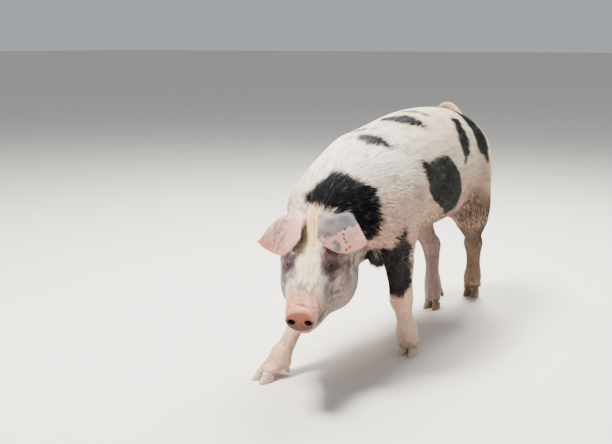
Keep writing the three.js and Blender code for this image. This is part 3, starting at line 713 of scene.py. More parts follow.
def patch(points, path, widths, edge=5.0, seed=1):
    """A marking along a path in model millimetres, with its half-width at each place."""
    places = [np.array(p, float) * MM for p in path]
    away, t = along(points, places)
    width = np.interp(t, np.linspace(0, 1, len(widths)), widths)
    return step(width + ragged(points, seed) - away / MM, -edge, edge)


# %% [markdown]
# The black markings on the body: one over the nape, a row of spots down the back, others on
# loin and rump, the left foreleg with its elbow, and a large oval on each flank. The ovals are
# given row by row instead, from the top down.


# %% Where the pig is black
def outline(points, across, level, rows, seed, edge=4.0):
    """A marking given row by row: (level, centre, half-width), in millimetres."""
    levels, centres, halves = np.array(sorted(rows)).T
    inside = np.interp(level, levels, halves, left=-40, right=-40)
    inside = inside - abs(across - np.interp(level, levels, centres))
    ends = np.minimum(level - levels[0], levels[-1] - level)
    return step(np.minimum(inside, ends) + ragged(points, seed) * 0.8, -edge, edge)


def black_on(points):
    """From 0 to 1: the black markings of trunk, neck and legs."""
    x, y, z = points.T / MM
    left, right = x > 40, x < -40
    strokes = [
        patch(points, [(-12, -378, 486), (26, -366, 512), (92, -352, 492), (100, -350, 425)],
              [36, 54, 57, 50], seed=3),
        patch(points, [(-10, -178, 626), (26, -186, 618), (72, -184, 607)], [17, 33, 14], seed=5),
        patch(points, [(-18, -8, 664), (32, -4, 664), (80, 8, 654)], [24, 45, 20], seed=7),
        patch(points, [(-34, 82, 678), (10, 92, 682), (52, 92, 674)], [10, 18, 7], seed=8) * 0.75,
        patch(points, [(-74, -112, 634), (-40, -118, 638), (-4, -110, 642)], [12, 18, 8], seed=9) * 0.9,
        patch(points, [(-20, -160, 626), (-44, -176, 614)], [9, 6], seed=10) * 0.5,
        patch(points, [(104, 210, 648), (128, 200, 620), (143, 190, 588), (153, 186, 545)],
              [24, 40, 42, 12], seed=13),
        patch(points, [(20, 420, 668), (62, 352, 664), (106, 342, 632), (138, 354, 580),
                       (146, 374, 530)], [38, 56, 56, 54, 14], seed=15),
        patch(points, [(-96, 330, 630), (-140, 352, 560)], [30, 40], seed=19),
        patch(points, [(112, -214, 346), (140, -232, 374), (158, -246, 388)], [20, 32, 20], seed=27),
        patch(points, [(98, -292, 334), (122, -290, 330), (134, -262, 306)], [24, 32, 38], 3.0, seed=33)]
    left_oval = [(574, -46, 86), (556, -36, 106), (532, -12, 112), (490, 20, 122), (450, 62, 102),
                 (415, 104, 68), (386, 130, 40)]
    right_oval = [(580, 40, 40), (540, 60, 78), (480, 96, 84), (430, 120, 44)]
    strokes.append(outline(points, y, z, left_oval, 11) * left)
    strokes.append(outline(points, y, z, right_oval, 17) * right)
    arm = patch(points, [(106, -196, 250), (116, -226, 320)], [66, 66], seed=23)
    strokes.append(arm * step(z - 194 + ragged(points, 25) * 0.5, -5, 5))
    pale = patch(points, [(98, -290, 368), (130, -296, 372), (156, -270, 376)], [4, 6, 4], 3.0, seed=29)
    return np.clip(np.max(strokes, 0) - pale * 0.85, 0, 1)


print("black share of the body", round(float(black_on(skin_points).mean()), 3))

# %% [markdown]
# The face and ears have markings of their own: a cream blaze down the forehead, a slate cap on
# the left ear with a torn edge, lilac skin round the eyes and the terracotta disc of the snout.


# %% Colours of the face and ears
def face_masks(points):
    """Masks from 0 to 1 for the named areas of the head, by place in its frame."""
    x, y, z = head_place(points).T
    wave = ragged(points, 31)
    blaze_half = np.interp(y, [-230, -190, -120, -60, -20, 10], [20, 26, 23, 17, 15, 9])
    fray = 22 * rough(np.stack([x, y * 0.2, z], 1) * MM, 4, 34)
    front = step(-y, 270, 284)
    masks = {"blaze": step(blaze_half + wave * 0.5 - abs(x - 2), -3, 5)
             * step(y + wave + fray, -232, -204) * step(z, -90, -60)}
    masks["disc"] = (step(-(y + 287 + abs(wave) * 0.2), -2, 2)
                     * step(34.5 - np.hypot(x - 2, (z + 66) * 1.12), -3, 3))
    holes = [np.hypot((x - 2 - 20.5 * s) / 9.4, (z + 67) / 8.4) for s in (1, -1)]
    masks["nostril"] = step(1.15 - np.minimum(*holes), -0.1, 0.25) * front
    slits = [np.hypot((x - 2 - 27 * s) / 9, (z + 65) / 4.5) for s in (1, -1)]
    masks["notch"] = step(1.15 - np.minimum(*slits), -0.2, 0.4) * front
    eye = [np.linalg.norm((points - EYE_AT[n]) / MM, axis=1) for n in EYES]
    masks["eye"] = step(37 + wave * 0.9 - np.minimum(*eye), -8, 14)
    masks["lid"] = step(16.6 - np.minimum(*eye), -2.5, 1.5)
    masks["bridge"] = step(-y + wave, 186, 246) * step(z, -80, -50) * (1 - masks["disc"])
    masks["lip"] = step(-y, 214, 256) * step(-z, 84, 104)
    masks["poll"] = step(y, -40, 6) * step(wave + 3, -3, 5)
    return {name: np.clip(mask, 0, 1) for name, mask in masks.items()}


def ear_masks(points):
    """Slate, pale speckle and dark dots on the left ear, in the head's frame."""
    x, y, z = head_place(points).T
    wave = rough(points, 8, 41) * 6 + rough(points, 3.5, 42) * 3
    border = np.interp(x, [30, 38, 51, 63, 77, 92, 109, 132], [-104, -97, -84, -74, -58, -50, -45, -30])
    cap = step(y - border + wave, -1.5, 1.5)
    blot = step(11.5 + wave * 0.5 - np.hypot(x - 66, y + 96), -1.5, 1.5)
    speckle = (step(rough(points, 3.2, 43) - 0.1, 0, 0.2)
               * step(16 - np.hypot(x - 46, (y + 98) * 1.2), -4, 4))
    spots = [np.hypot(x - a, y - b)
             for a, b in ((84, -52), (81, -63), (83, -72), (88, -78), (98, -87), (90, -93))]
    slate = np.clip(np.maximum(cap, blot) - speckle, 0, 1) * (x > 20)
    return slate, step(3.1 - np.min(spots, 0), -0.9, 0.9), speckle


print("face masks", list(face_masks(skin_points[:4])))

# %% [markdown]
# The lower rim of each ear is warm, and thin hair lies in fine lines down it.

# %% The warm rim of each ear
RIM_LEFT = [(30, -108, -4), (45, -116, -8), (70, -112, -18), (96, -100, -24), (130, -84, -16)]
RIM_RIGHT = [(-50, -96, -36), (-72, -100, -44), (-97, -87, -49), (-124, -74, -46), (-142, -62, -42)]
rim_places = [[on_head(*p) for p in path] for path in (RIM_LEFT, RIM_RIGHT)]


def ear_rim(points):
    """From 0 to 1 along the lower edges of the ears, where the blood shows through."""
    away = np.minimum(*[along(points, path)[0] / MM for path in rim_places])
    return step(16 - away, -6, 10)


def ear_lines(points):
    """Fine dark lines where thin hair lies in rows down the right ear, and a few on the left."""
    local = head_place(points) * MM
    x = local[:, 0] / MM
    middle = np.where(x < 0, step(20 - abs(x + 86), -10, 12), 0.45 * step(14 - abs(x - 100), -8, 10))
    return step(rough(local, (2.6, 13, 5), 46), 0.0, 0.35) * middle


print("ear rims", len(rim_places))

# %% [markdown]
# Under white bristles a pig is pink, under black ones slate. Both the skin and the hair are
# painted in layers, each a colour and a mask from 0 to 1 that says where it lies. Mud is one of
# the masks: it splashes up the legs and along the belly.

# %% Paint in layers
PINK, ROSE, SLATE = tone("d2a491"), tone("c79082"), tone("1c1b1e")
MUD, TERRACOTTA, LILAC = tone("8f7053"), tone("83432b"), tone("533a43")
CREAM, STRAW, WHITE, JET = tone("faecd8"), tone("efd2a2"), tone("fdfaf4"), tone("0b0a0b")
# Each leg's tone: its own colour, darkened on the hind legs by painted shade, and lightened by painted
# light on the left foreleg's hair.
LEG_SKIN_AND_SHADE = {FORE_LEFT: "e0b898", FORE_RIGHT: "ebbba4", HIND_LEFT: "5a4f46", HIND_RIGHT: "8c7a7c"}
LEG_HAIR_LIGHT_AND_SHADE = {FORE_LEFT: "f6dcc0", FORE_RIGHT: "f8d6c0", HIND_LEFT: "7b6f64", HIND_RIGHT: "a99b9c"}
LEG_TOP, LEG_FADE = 345, 90


def painted(colour, *layers):
    """A colour for each point, under layers of another colour and the mask it is laid by."""
    for over, mask in layers:
        over = tone(over) if isinstance(over, str) else over
        colour = colour + (over - colour) * np.asarray(mask)[..., None]
    return colour


def spot(points, place, full, none):
    """A soft round mask at a place of the body; all in millimetres."""
    return near(points, np.array(place) * MM, full * MM, none * MM)


# %% Masks that both skin and hair use
def head_masks(points, part):
    """The masks of the face, on the head alone."""
    head = part == HEAD
    return head, {name: mask * head for name, mask in face_masks(points).items()}


def black_body(points, part):
    """The black markings of all parts but the head and ears, which have their own."""
    return black_on(points) * ~np.isin(part, (HEAD, EAR_LEFT, EAR_RIGHT))


def dirt_on(points):
    """Mud on the legs and the belly, in splashes."""
    x, y, z = points.T / MM
    splash = rough(points, (18, 18, 30), 51) * 0.5 + rough(points, 7, 52) * 0.35
    legs = step(170 - z, 0, 150) * np.where(y < 0, 0.15, np.where(x > 0, 0.4, 0.12))
    hind = step(y, 200, 300) * step(330 - z, 0, 120) * np.where(x > 0, 0.3, 0.08)
    belly = step(400 - z, 0, 90) * step(z, 200, 300) * 0.5
    return np.clip(legs + hind + belly + splash * (legs + hind + belly + 0.08), 0, 0.95)


def soiled_shaded_thigh(points):
    """The left thigh, dark with soil and darker still with painted shade."""
    x, y, z = points.T / MM
    return step(y, 225, 290) * step(x, 40, 90) * step(460 - z, 0, 130) * step(z, 150, 230)


print("dirty share of the body", round(float(dirt_on(skin_points).mean()), 3))

# %% [markdown]
# The bare skin shows on snout, lids and ears and glows through everywhere else. It is blotched,
# since blood and fat lie unevenly under it, and painted shade darkens the lower half of the disc.


# %% Colours of the skin
def skin_colour(points, part):
    """The bare skin's colour at each point."""
    z = points[:, 2] / MM
    hx, _, hz = head_place(points).T
    head, face = head_masks(points, part)
    left_ear = part == EAR_LEFT
    ear = np.isin(part, (EAR_LEFT, EAR_RIGHT))
    on_leg = step(LEG_TOP - z, 0, LEG_FADE)
    mottle = step(rough(points, 13, 63) + 0.6 * rough(points, 5, 64), -0.1, 0.8)
    # The lower half of the snout's disc, where shade is painted.
    low = step(-(hz + 64) + 6 * rough(points, 9, 47), -8, 18)
    smudge = near(points, on_head(-6, -268, -30), 6 * MM, 22 * MM)
    smudge = smudge * step(rough(points, (9, 5, 5), 49), -0.3, 0.5)
    slate, spots, speckle = ear_masks(points)
    veins = step(1 - abs(rough(points, (9, 9, 26), 44)) * 7, 0, 1)
    veins = veins * step(rough(points, 20, 45), -0.2, 0.5)
    colour = painted(
        np.tile(PINK, (len(points), 1)),
        (ROSE, step(rough(points, 40, 61), -0.4, 0.8) * 0.6),
        ("8a6c60", mottle * 0.6),
        *[(code, (part == leg) * on_leg * 0.75) for leg, code in LEG_SKIN_AND_SHADE.items()],
        # Soil and painted shade on the left thigh.
        ("4c423c", soiled_shaded_thigh(points) * 0.8),
        (MUD, dirt_on(points)),
        (SLATE, black_body(points, part) * 0.985),
        ("a8929a", head * 0.5),
        ("948279", face["blaze"] * 0.6),
        (LILAC, face["eye"] * 0.95),
        # Dark lids: their own colour, and partly painted shade.
        ("38262c", face["lid"] * 0.9),
        ("c97f5c", face["bridge"] * 0.75),
        ("8a6250", face["lip"] * 0.6),
        (TERRACOTTA, face["disc"]),
        # Painted shade on the lower half of the disc.
        ("4a2412", face["disc"] * low * 0.92),
        ("6b4030", face["disc"] * step(rough(points, 4, 48), 0.0, 0.7) * 0.4),
        # Painted shade inside the nostrils and their side slits.
        ("3a1a12", face["notch"] * 0.8),
        ("1d120e", face["nostril"]),
        ("6d5548", smudge * head * 0.5),
        ("d8a8a0", ear * 0.9),
        ("a0626c", ear * veins * 0.55),
        ("84525f", ear * ear_lines(points) * 0.7),
        ("d98f6c", ear * ear_rim(points) * 0.7),
        ("6c6b73", slate * left_ear),
        ("8a7c74", slate * left_ear * step(70 - hx, -10, 14) * 0.6),
        ("e8d6cc", speckle * left_ear * 0.8),
        ("5a1836", spots * left_ear),
        ("b38b68", (part == TAIL) * 0.7))
    return np.clip(colour, 0, 1)


# %% [markdown]
# The hair is creamier on the back, thin and pinkish on the shoulder and flank, grey in streaks, brown with
# soil and painted shade on the left thigh and hind leg, and has a painted bluish sheen along the black.


# %% Colours of the body's hair
def body_hair(points, part):
    """The hair's colour on body, legs and tail, before the black."""
    x, y, z = points.T / MM
    streak = rough(points, (7, 60, 9), 75) * 0.5 + rough(points, (4, 26, 5), 76) * 0.5
    side = step(580 - z, 0, 130) * step(abs(x), 60, 130)
    grey = step(rough(points, (6, 80, 7), 78) + 0.6 * rough(points, (3, 34, 4), 79), 0.05, 0.75)
    blotch = step(rough(points, (26, 36, 24), 85) + 0.5 * rough(points, 9, 86), 0.0, 0.9)
    # The top of the back, where the hair is kept less grey: partly its own colour, partly painted light.
    lit_back_top = step(y, -60, 100) * step(z, 560, 630)
    ham = step(np.hypot((y - 350) / 70, (z - 490) / 100), 1.1, 0.3) * (x > 60)
    on_leg = step(LEG_TOP - z, 0, LEG_FADE)
    # Painted shade, with some soil, on the left thigh and low on the left ham.
    shade = np.maximum(soiled_shaded_thigh(points), spot(points, (116, 340, 350), 25, 80))
    colour = painted(
        np.tile(CREAM, (len(points), 1)),
        (WHITE, step(z, 470, 590) * step(-y, 40, 240) * 0.85),
        (STRAW, step(rough(points, 60, 71) + streak * 0.6, 0.0, 0.9) * 0.45),
        ("c9a893", side * (0.6 + 0.35 * streak) * step(y, -420, -300)),
        ("9a8070", step(440 - z, 0, 90) * 0.6),
        ("b08c78", blotch * side * 0.6),
        ("9c8a7a", grey * (0.52 + 0.2 * side - 0.3 * lit_back_top)),
        ("9c8070", ham * (0.55 + 0.35 * streak)),
        *[(code, (part == leg) * on_leg * 0.8) for leg, code in LEG_HAIR_LIGHT_AND_SHADE.items()],
        # Grey-brown low on the left belly and on the left ham: their own tone, and partly painted shade.
        ("7c6b5f", step(445 - z, 0, 70) * step(x, 60, 100) * step(y, -120, -40) * 0.7),
        ("5c493c", spot(points, (132, 300, 396), 20, 75) * 0.75),
        ("ded0cd", (part == HIND_RIGHT) * step(170 - z, 0, 60) * 0.7),
        # Painted light on the lower left foreleg.
        ("fff0de", (part == FORE_LEFT) * step(150 - z, 0, 50) * 0.7),
        # A painted highlight on the left hock.
        ("c0a078", spot(points, (100, 470, 120), 20, 60) * (part == HIND_LEFT) * 0.7),
        ("96775a", dirt_on(points) * 0.75),
        # Painted shade, with some soil, on the upper hind legs.
        ("4a3e35", (part == HIND_LEFT) * step(z, 80, 150) * on_leg * 0.6),
        ("6f6064", (part == HIND_RIGHT) * step(z, 110, 180) * on_leg * 0.45),
        ("322822", shade * (0.85 + 0.2 * streak)),
        ("9a7a5e", spot(points, (112, -176, 176), 12, 40) * (0.55 + 0.3 * streak)),
        ("cba987", (part == TAIL) * 0.85))
    return colour * (1 + 0.20 * streak)[:, None]


# %% [markdown]
# On head and ears the hair has colours of its own. Black bristles are not quite black: they
# catch the sky in strands, so a blue grey is painted along them as a reflection.


# %% Colours of head, ears and black hair
def hair_colour(points, part):
    """The bristles' colour at their roots."""
    local = head_place(points) * MM
    # A painted reflection of the sky, in strands along the black hair.
    painted_sheen = step(rough(points, (5, 46, 7), 88) + 0.6 * rough(points, (2.4, 20, 3), 89), 0.2, 0.9)
    jet = painted(np.tile(JET, (len(points), 1)), ("424956", painted_sheen))
    swirl = rough(points, 24, 77) + 0.8 * rough(local, (5, 12, 7), 82)
    cheek = painted(np.tile(tone("f4efe9"), (len(points), 1)), ("94857f", step(swirl, -0.4, 1.0)))
    jowl = step(-local[:, 2] / MM, 96, 150) * step(local[:, 1] / MM, -230, -180)
    # Painted shade in the sockets round the eyes.
    socket = np.maximum(*[near(points, EYE_AT[n], 16 * MM, 34 * MM) for n in EYES])
    # Painted shadow of the ears over the brows.
    brow = np.maximum(*[near(points, on_head(x, -108, -32), 10 * MM, 34 * MM) for x in (50, -47)])
    strand = rough(local, (3.2, 46, 40), 83) + 0.5 * rough(local, (1.6, 24, 40), 84)
    mane = painted(np.tile(tone("fce8c2"), (len(points), 1)),
                   ("ecbd72", step(local[:, 1] / MM, -125, -30) * 0.85),
                   ("82766d", step(strand, 0.10, 0.75) * 0.8))
    head, face = head_masks(points, part)
    slate, spots, _ = ear_masks(points)
    ear = np.isin(part, (EAR_LEFT, EAR_RIGHT))
    colour = painted(
        body_hair(points, part),
        (jet, black_body(points, part)),
        (cheek, 0.88 * head),
        ("94837c", jowl * head * 0.6),
        # Pink skin showing on the left cheek: its own colour, and partly painted light.
        ("edc3ae", near(points, on_head(56, -232, -92), 8 * MM, 34 * MM) * head * 0.8),
        ("5b464d", face["eye"] * 0.85),
        # Painted shade in the eye sockets.
        ("3a2a2e", socket * head * 0.8),
        # Painted shadow under the ears, above the eyes.
        ("54443f", brow * head * 0.7),
        ("e3a07c", face["bridge"] * 0.85 * (0.75 + 0.25 * rough(points, 7, 87))),
        (mane, face["blaze"] * 0.95),
        (JET, face["poll"] * 0.9 * step(rough(local, (4, 30, 40), 73), -0.35, 0.05)),
        ("e2bcae", ear * 0.75),
        ("bb9c78", (part == EAR_RIGHT) * step(-local[:, 0] / MM, 100, 132) * 0.85),
        ("74485a", ear * ear_lines(points) * 0.75),
        ("8a888c", slate * (part == EAR_LEFT) * 0.95),
        ("5a1836", spots * (part == EAR_LEFT) * 0.8))
    return np.clip(colour, 0, 1)


# %% [markdown]
# ## The hide
# The skin gets its colours as an attribute of its points, then one material. Living skin lets
# light in a little way, so it has some subsurface scattering; it is creased into tiny cells, so
# a Voronoi and a noise give it bump; and it is a little greasy, so the roughness wanders.


# %% The plan of the hide
FULL_TURN, EAR_TURN = 6.2832, 6.28


def unwrapped(points, part):
    """Each point's place on a plan of the hide: one strip per part, wound round its own length."""
    place = np.zeros((len(points), 2))
    local = head_place(points) * MM
    x, y, z = points.T
    plans = {
        (TRUNK, NECK): (y, np.arctan2(x, z - 0.46), 0.00, 0.42, -0.55, 0.62),
        (HEAD,): (local[:, 1], np.arctan2(local[:, 0], local[:, 2] + 0.12), 0.44, 0.62, -0.32, 0.10),
        (EAR_LEFT,): (local[:, 1], (local[:, 0] - 0.03) / 0.12 * EAR_TURN - EAR_TURN / 2,
                      0.64, 0.72, -0.14, 0.02),
        (EAR_RIGHT,): (local[:, 1], (-local[:, 0] - 0.03) / 0.14 * EAR_TURN - EAR_TURN / 2,
                       0.74, 0.82, -0.14, 0.02),
        (TAIL,): (z, np.arctan2(x, y - 0.5), 0.84, 0.88, 0.56, 0.72),
    }
    for parts, (run, turn, low, high, start, end) in plans.items():
        own = np.isin(part, parts)
        place[own, 0] = (low + (high - low) * np.clip((turn / FULL_TURN + 0.5), 0, 1))[own]
        place[own, 1] = np.clip((run - start) / (end - start), 0, 1)[own] * 0.98 + 0.01
    for k, leg in enumerate((FORE_LEFT, FORE_RIGHT, HIND_LEFT, HIND_RIGHT)):
        own = part == leg
        if own.any():
            centre = np.stack([np.interp(z[own], leg_axis[leg][0], leg_axis[leg][1 + a]) for a in (0, 1)])
            turn = np.arctan2(x[own] - centre[0], y[own] - centre[1])
            place[own, 0] = 0.89 + (k % 2) * 0.05 + 0.045 * (turn / FULL_TURN + 0.5)
            place[own, 1] = 0.01 + (k // 2) * 0.5 + 0.46 * np.clip(z[own] / 0.34, 0, 1)
    return place


leg_axis = {}
for leg in (FORE_LEFT, FORE_RIGHT, HIND_LEFT, HIND_RIGHT):
    own = skin_points[part == leg]
    levels = np.linspace(own[:, 2].min(), own[:, 2].max(), 12)
    bands = [own[abs(own[:, 2] - level) < 0.02].mean(0) for level in levels]
    leg_axis[leg] = (levels, np.array(bands)[:, 0], np.array(bands)[:, 1])
print("legs measured", len(leg_axis))


# %% The skin, with its colours and its plan
def give_colours(mesh, colours, name="tint"):
    """Store a colour for each point, for the material to read."""
    layer = mesh.color_attributes.new(name, "FLOAT_COLOR", "POINT")
    layer.data.foreach_set("color", np.concatenate([colours, np.ones((len(colours), 1))], 1)
                           .astype(np.float32).ravel())


def give_uv(mesh, corner_places):
    """Store the places of each face corner on the plan of the hide."""
    layer = mesh.uv_layers.new(name="OFBake")
    layer.data.foreach_set("uv", np.clip(corner_places, 0, 1).astype(np.float32).ravel())


skin = new_object("skin", skin_points, skin_faces)
give_colours(skin.data, skin_colour(skin_points, part))
give_uv(skin.data, unwrapped(skin_points, part)[skin_faces.ravel()])
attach(skin, "root")
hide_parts(*FLESH)
print("skin", len(skin.data.polygons), "triangles")

# %% Skin material
hide = Paint("pig_hide")
tint = hide.attribute("tint")
mottle = hide.noise(60, 5)
pores = hide.noise(900, 3)
cells = hide.node("ShaderNodeTexVoronoi", {"feature": "DISTANCE_TO_EDGE"},
                  {"Vector": hide.place(), "Scale": 420.0, "Randomness": 1.0}, "Distance")
shaded = hide.mix(hide.ramp(mottle, (0.35, 0.0), (0.75, 1.0)), tint,
                  hide.mix(1.0, tint, (0.80, 0.62, 0.58, 1), "MULTIPLY"))
crease = hide.bump(hide.ramp(cells, (0.0, 0.0), (0.25, 1.0)), 0.0004, 0.35)
skin.data.materials.append(hide.finish(
    Base_Color=shaded, Roughness=0.46 + mottle * 0.2, Subsurface_Weight=0.12,
    Subsurface_Radius=(0.006, 0.0025, 0.0015), Subsurface_Scale=1.0, Specular_IOR_Level=0.4,
    Normal=hide.bump(pores, 0.0003, 0.4, crease)))
print("hide material", len(hide.tree.nodes), "nodes")

# %% [markdown]
# ## Eyes
# A pig's eye is a wet brown ball. Its own sphere replaces the plain one, with rings close enough
# for the iris and the pupil, which are coloured by their angle from the line of sight, and a
# low dome over them for the cornea.


# %% Two eyes
def eye_arrays(name, rings=40, sectors=56):
    """A ball with its pole along the line of sight, bulging a little over the iris."""
    points, colours = [], []
    for i in range(rings + 1):
        polar = math.pi * i / rings
        radius = EYE_RADIUS * (1 + 0.045 * math.exp(-(polar / 0.42) ** 2)) - 0.05 * MM
        for j in range(sectors):
            turn = 2 * math.pi * j / sectors
            across, up = math.sin(polar) * math.cos(turn), math.sin(polar) * math.sin(turn)
            points.append(radius * np.array([across, up, math.cos(polar)]))
            pupil = step(0.36 - math.hypot(across * 0.8, up * 1.15), -0.04, 0.04)
            iris = step(0.98 - polar, -0.05, 0.05)
            fibre = 0.8 + 0.2 * math.sin(turn * 23) * math.sin(turn * 7 + 1)
            white = tone("8a7068")
            colour = white + (tone("2e1a10") * fibre * (1.0 - 0.5 * step(polar, 0.7, 0.98)) - white) * iris
            colours.append(colour * (1 - pupil) + tone("060505") * pupil)
    grid = [(i * sectors + j, (i + 1) * sectors + j, (i + 1) * sectors + (j + 1) % sectors,
             i * sectors + (j + 1) % sectors) for i in range(rings) for j in range(sectors)]
    points = np.array(points) @ eye_axes[name].T + EYE_AT[name]
    return points, np.array(grid), np.array(colours)


wet = Paint("eye_wet")
cornea = wet.finish(Base_Color=wet.attribute("tint"), Roughness=0.10 + wet.noise(300) * 0.03,
                    Specular_IOR_Level=0.10, Coat_Weight=0.30, Coat_Roughness=0.02)
for name in EYES:
    points, grid, colours = eye_arrays(name)
    if np.linalg.det(eye_axes[name]) < 0:
        grid = grid[:, ::-1]
    eye = new_object("ball_" + name, points, grid)
    if len(eye.data.vertices) == len(colours):
        give_colours(eye.data, colours)
    eye.data.materials.append(cornea)
    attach(eye, "root")
    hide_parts(name)
print("eyes of", round(EYE_RADIUS * 2 / MM, 1), "mm")

# %% [markdown]
# ## Hooves
# Each foot ends in two claws that bear the weight and two dewclaws behind. Horn grows down from
# the coronet in layers and wears flat on the ground. Each claw is remeshed finely, relaxed so
# that its facets go, pressed flat where it stands, and run up a little under the skin.

# %% Horn material
horn = Paint("horn")
lengthways = horn.node("ShaderNodeMapping", {"vector_type": "POINT"},
                       {"Vector": horn.place(), "Scale": (1.0, 1.0, 0.12)}, "Vector")
layers = horn.node("ShaderNodeMapping", {"vector_type": "POINT"},
                   {"Vector": horn.place(), "Scale": (0.15, 0.15, 1.0)}, "Vector")
streaks, growth = horn.noise(260, 4, where=lengthways), horn.noise(330, 3, where=layers)
dust = horn.ramp(horn.noise(70, 5), (0.42, 0.0), (0.62, 1.0))


def horn_tone(dark, light, band, dusty, dust_share):
    """One colour of horn: streaked lengthways, banded by its growth and dusted."""
    streaked = horn.mix(streaks, rgba(dark), rgba(light))
    banded = horn.mix(growth * 0.35, streaked, rgba(band))
    return horn.mix(dust * dust_share, banded, rgba(dusty))


dark_horn = horn_tone("372a22", "80694f", "6b5646", "92765a", 0.75)
pale_horn = horn_tone("94816e", "dccab0", "b39c86", "bda585", 0.55)
# The front claws are pale and the hind ones dark, so the mix follows the length of the body.
along_body = horn.node("ShaderNodeSeparateXYZ", {}, [horn.place()], "Y")
horn_finish = horn.finish(
    Base_Color=horn.mix(((0.15 - along_body) * 6).clip(), dark_horn, pale_horn),
    Roughness=0.42 + dust * 0.35, Normal=horn.bump(streaks * 0.6 + growth * 0.5, 0.0008, 0.6))
print("horn material", len(horn.tree.nodes), "nodes")

# %% Sixteen pieces of horn
HORN = sorted(name for name in NODES if "claw" in name)
CLAW_NET, SOLE_DEPTH, UNDER_SKIN = 1.5 * MM, 0.6 * MM, 4 * MM
for name in HORN:
    plain_claw = new_object("plain", *solid_arrays(name))
    fine_claw = modified(plain_claw, "REMESH", mode="VOXEL", voxel_size=CLAW_NET)
    bpy.data.objects.remove(plain_claw)
    points, faces = mesh_arrays(fine_claw)
    low, high = points[:, 2].min(), points[:, 2].max()
    sole = points[:, 2] < low + SOLE_DEPTH
    points = relaxed(points, mesh_edges(fine_claw), 0.5, 9)
    points += point_normals(points, faces) * 0.35 * MM
    if low < 1 * MM:
        points[:, 2] = np.where(sole, 0, np.maximum(points[:, 2], 0))
    top = step(points[:, 2], low + 0.72 * (high - low), high)
    points[:, 2] += top * UNDER_SKIN
    claw = new_object("horn_" + name, points, faces)
    claw.data.materials.append(horn_finish)
    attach(claw, "root")
    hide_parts(name)
print("horn pieces", len(HORN))

# %% [markdown]
# ## The lie of the coat
# Bristles lie back from the snout over the poll and withers to the rump, slope down the flanks,
# and run down the legs. The field is set part by part, softened over the net so that it turns
# smoothly from one part to the next, and laid flat against the skin. The tail curls, so there
# the way is found on the net itself: it leads to where the walk from the body grows longest.


# %% Flow over the skin
TAIL_ROUNDS, FLOW_SHARE, FLOW_ROUNDS = 160, 0.6, 14


def lie_of_coat():
    """For each point of the skin, the direction its bristles lie in, along the surface."""
    x, y, z = skin_points.T / MM
    side = np.tanh(x / 70)
    flow = np.stack([side * 0.05, np.ones_like(x), -0.42 * abs(side)], 1)
    behind = step(y, 380, 520)[:, None]
    flow = flow * (1 - behind) + np.stack([side * 0.1, 0 * x + 0.1, -np.ones_like(x)], 1) * behind
    ham = (step(y, 250, 380) * step(520 - z, 0, 120))[:, None]
    flow = flow * (1 - ham) + np.array([0, 0.35, -1.0]) * ham
    hx, hy, hz = head_place(skin_points).T
    cheek = np.clip(abs(hx - 2) / 80, 0, 1)
    on_face = np.stack([np.sign(hx) * cheek * 0.2, np.ones_like(hx),
                        -0.75 * cheek * step(-hz, 20, 120)], 1)
    flow[part == HEAD] = (on_face @ head_axes.T)[part == HEAD]
    for leg in leg_axis:
        flow[part == leg] = (0, 0.15, -1.0)
    for ear, sign in ((EAR_LEFT, 1), (EAR_RIGHT, -1)):
        root = on_head(sign * 30, -8, -8)
        flow[part == ear] = (skin_points - root)[part == ear]
    tail = part == TAIL
    distance = np.where(tail, 1e3, 0.0)
    a, b = skin_edges.T
    length = np.linalg.norm(skin_points[a] - skin_points[b], axis=1)
    for _ in range(TAIL_ROUNDS):
        np.minimum.at(distance, a, distance[b] + length)
        np.minimum.at(distance, b, distance[a] + length)
    climb = (skin_points[b] - skin_points[a]) * (distance[b] - distance[a])[:, None]
    uphill = np.stack([np.bincount(a, climb[:, k], len(x)) + np.bincount(b, climb[:, k], len(x))
                       for k in range(3)], 1)
    flow[tail] = uphill[tail] * 1e6
    flow /= np.maximum(np.linalg.norm(flow, axis=1, keepdims=True), 1e-9)
    flow = relaxed(flow, skin_edges, FLOW_SHARE, FLOW_ROUNDS)
    flow -= skin_normals * np.sum(flow * skin_normals, 1, keepdims=True)
    return flow / np.maximum(np.linalg.norm(flow, axis=1, keepdims=True), 1e-9)


flow = lie_of_coat()
part = part_of(skin_points)
print("flow", flow.shape)

# %% [markdown]
# ## Locks of bristle
# Real bristles are a tenth of a millimetre thick and would take millions of strands. Each lock
# here stands for a small bundle: a closed, three-sided spike, flat against the skin, with a root
# just under it, a bend and a point. A lock is laid by looking for the skin under its middle and
# its tip, so that it follows every curve of the body.

# %% Places for the locks
PLAN_PATCH = 0.003
PLAN_CORNERS = np.array([(-0.5, -0.4), (0.5, -0.4), (0.0, 0.5)])


def scattered(draw, weight, count):
    """Random places on the skin: face numbers and the shares of their three corners."""
    a, b, c = (skin_points[skin_faces[:, k]] for k in range(3))
    area = np.linalg.norm(np.cross(b - a, c - a), axis=1) * weight[skin_faces].mean(1)
    total = np.cumsum(area)
    face = np.searchsorted(total, (np.arange(count) + draw.random(count)) / count * total[-1])
    face = np.minimum(face, len(total) - 1)
    u, v = draw.random((2, count))
    flip = u + v > 1
    u, v = np.where(flip, 1 - u, u), np.where(flip, 1 - v, v)
    return face, np.stack([1 - u - v, u, v], 1)


def carried(values, face, share):
    """A value of the skin's points at scattered places."""
    return np.einsum("nk,nk...->n...", share, values[skin_faces[face]])


def under(points):
    """The nearest place on the skin and its outward normal."""
    hits = [skin_tree.find_nearest(p) for p in points.tolist()]
    return np.array([h[0] for h in hits]), np.array([h[1] for h in hits])


def unit(vectors):
    """The same directions, each one long."""
    return vectors / np.maximum(np.linalg.norm(vectors, axis=1, keepdims=True), 1e-12)


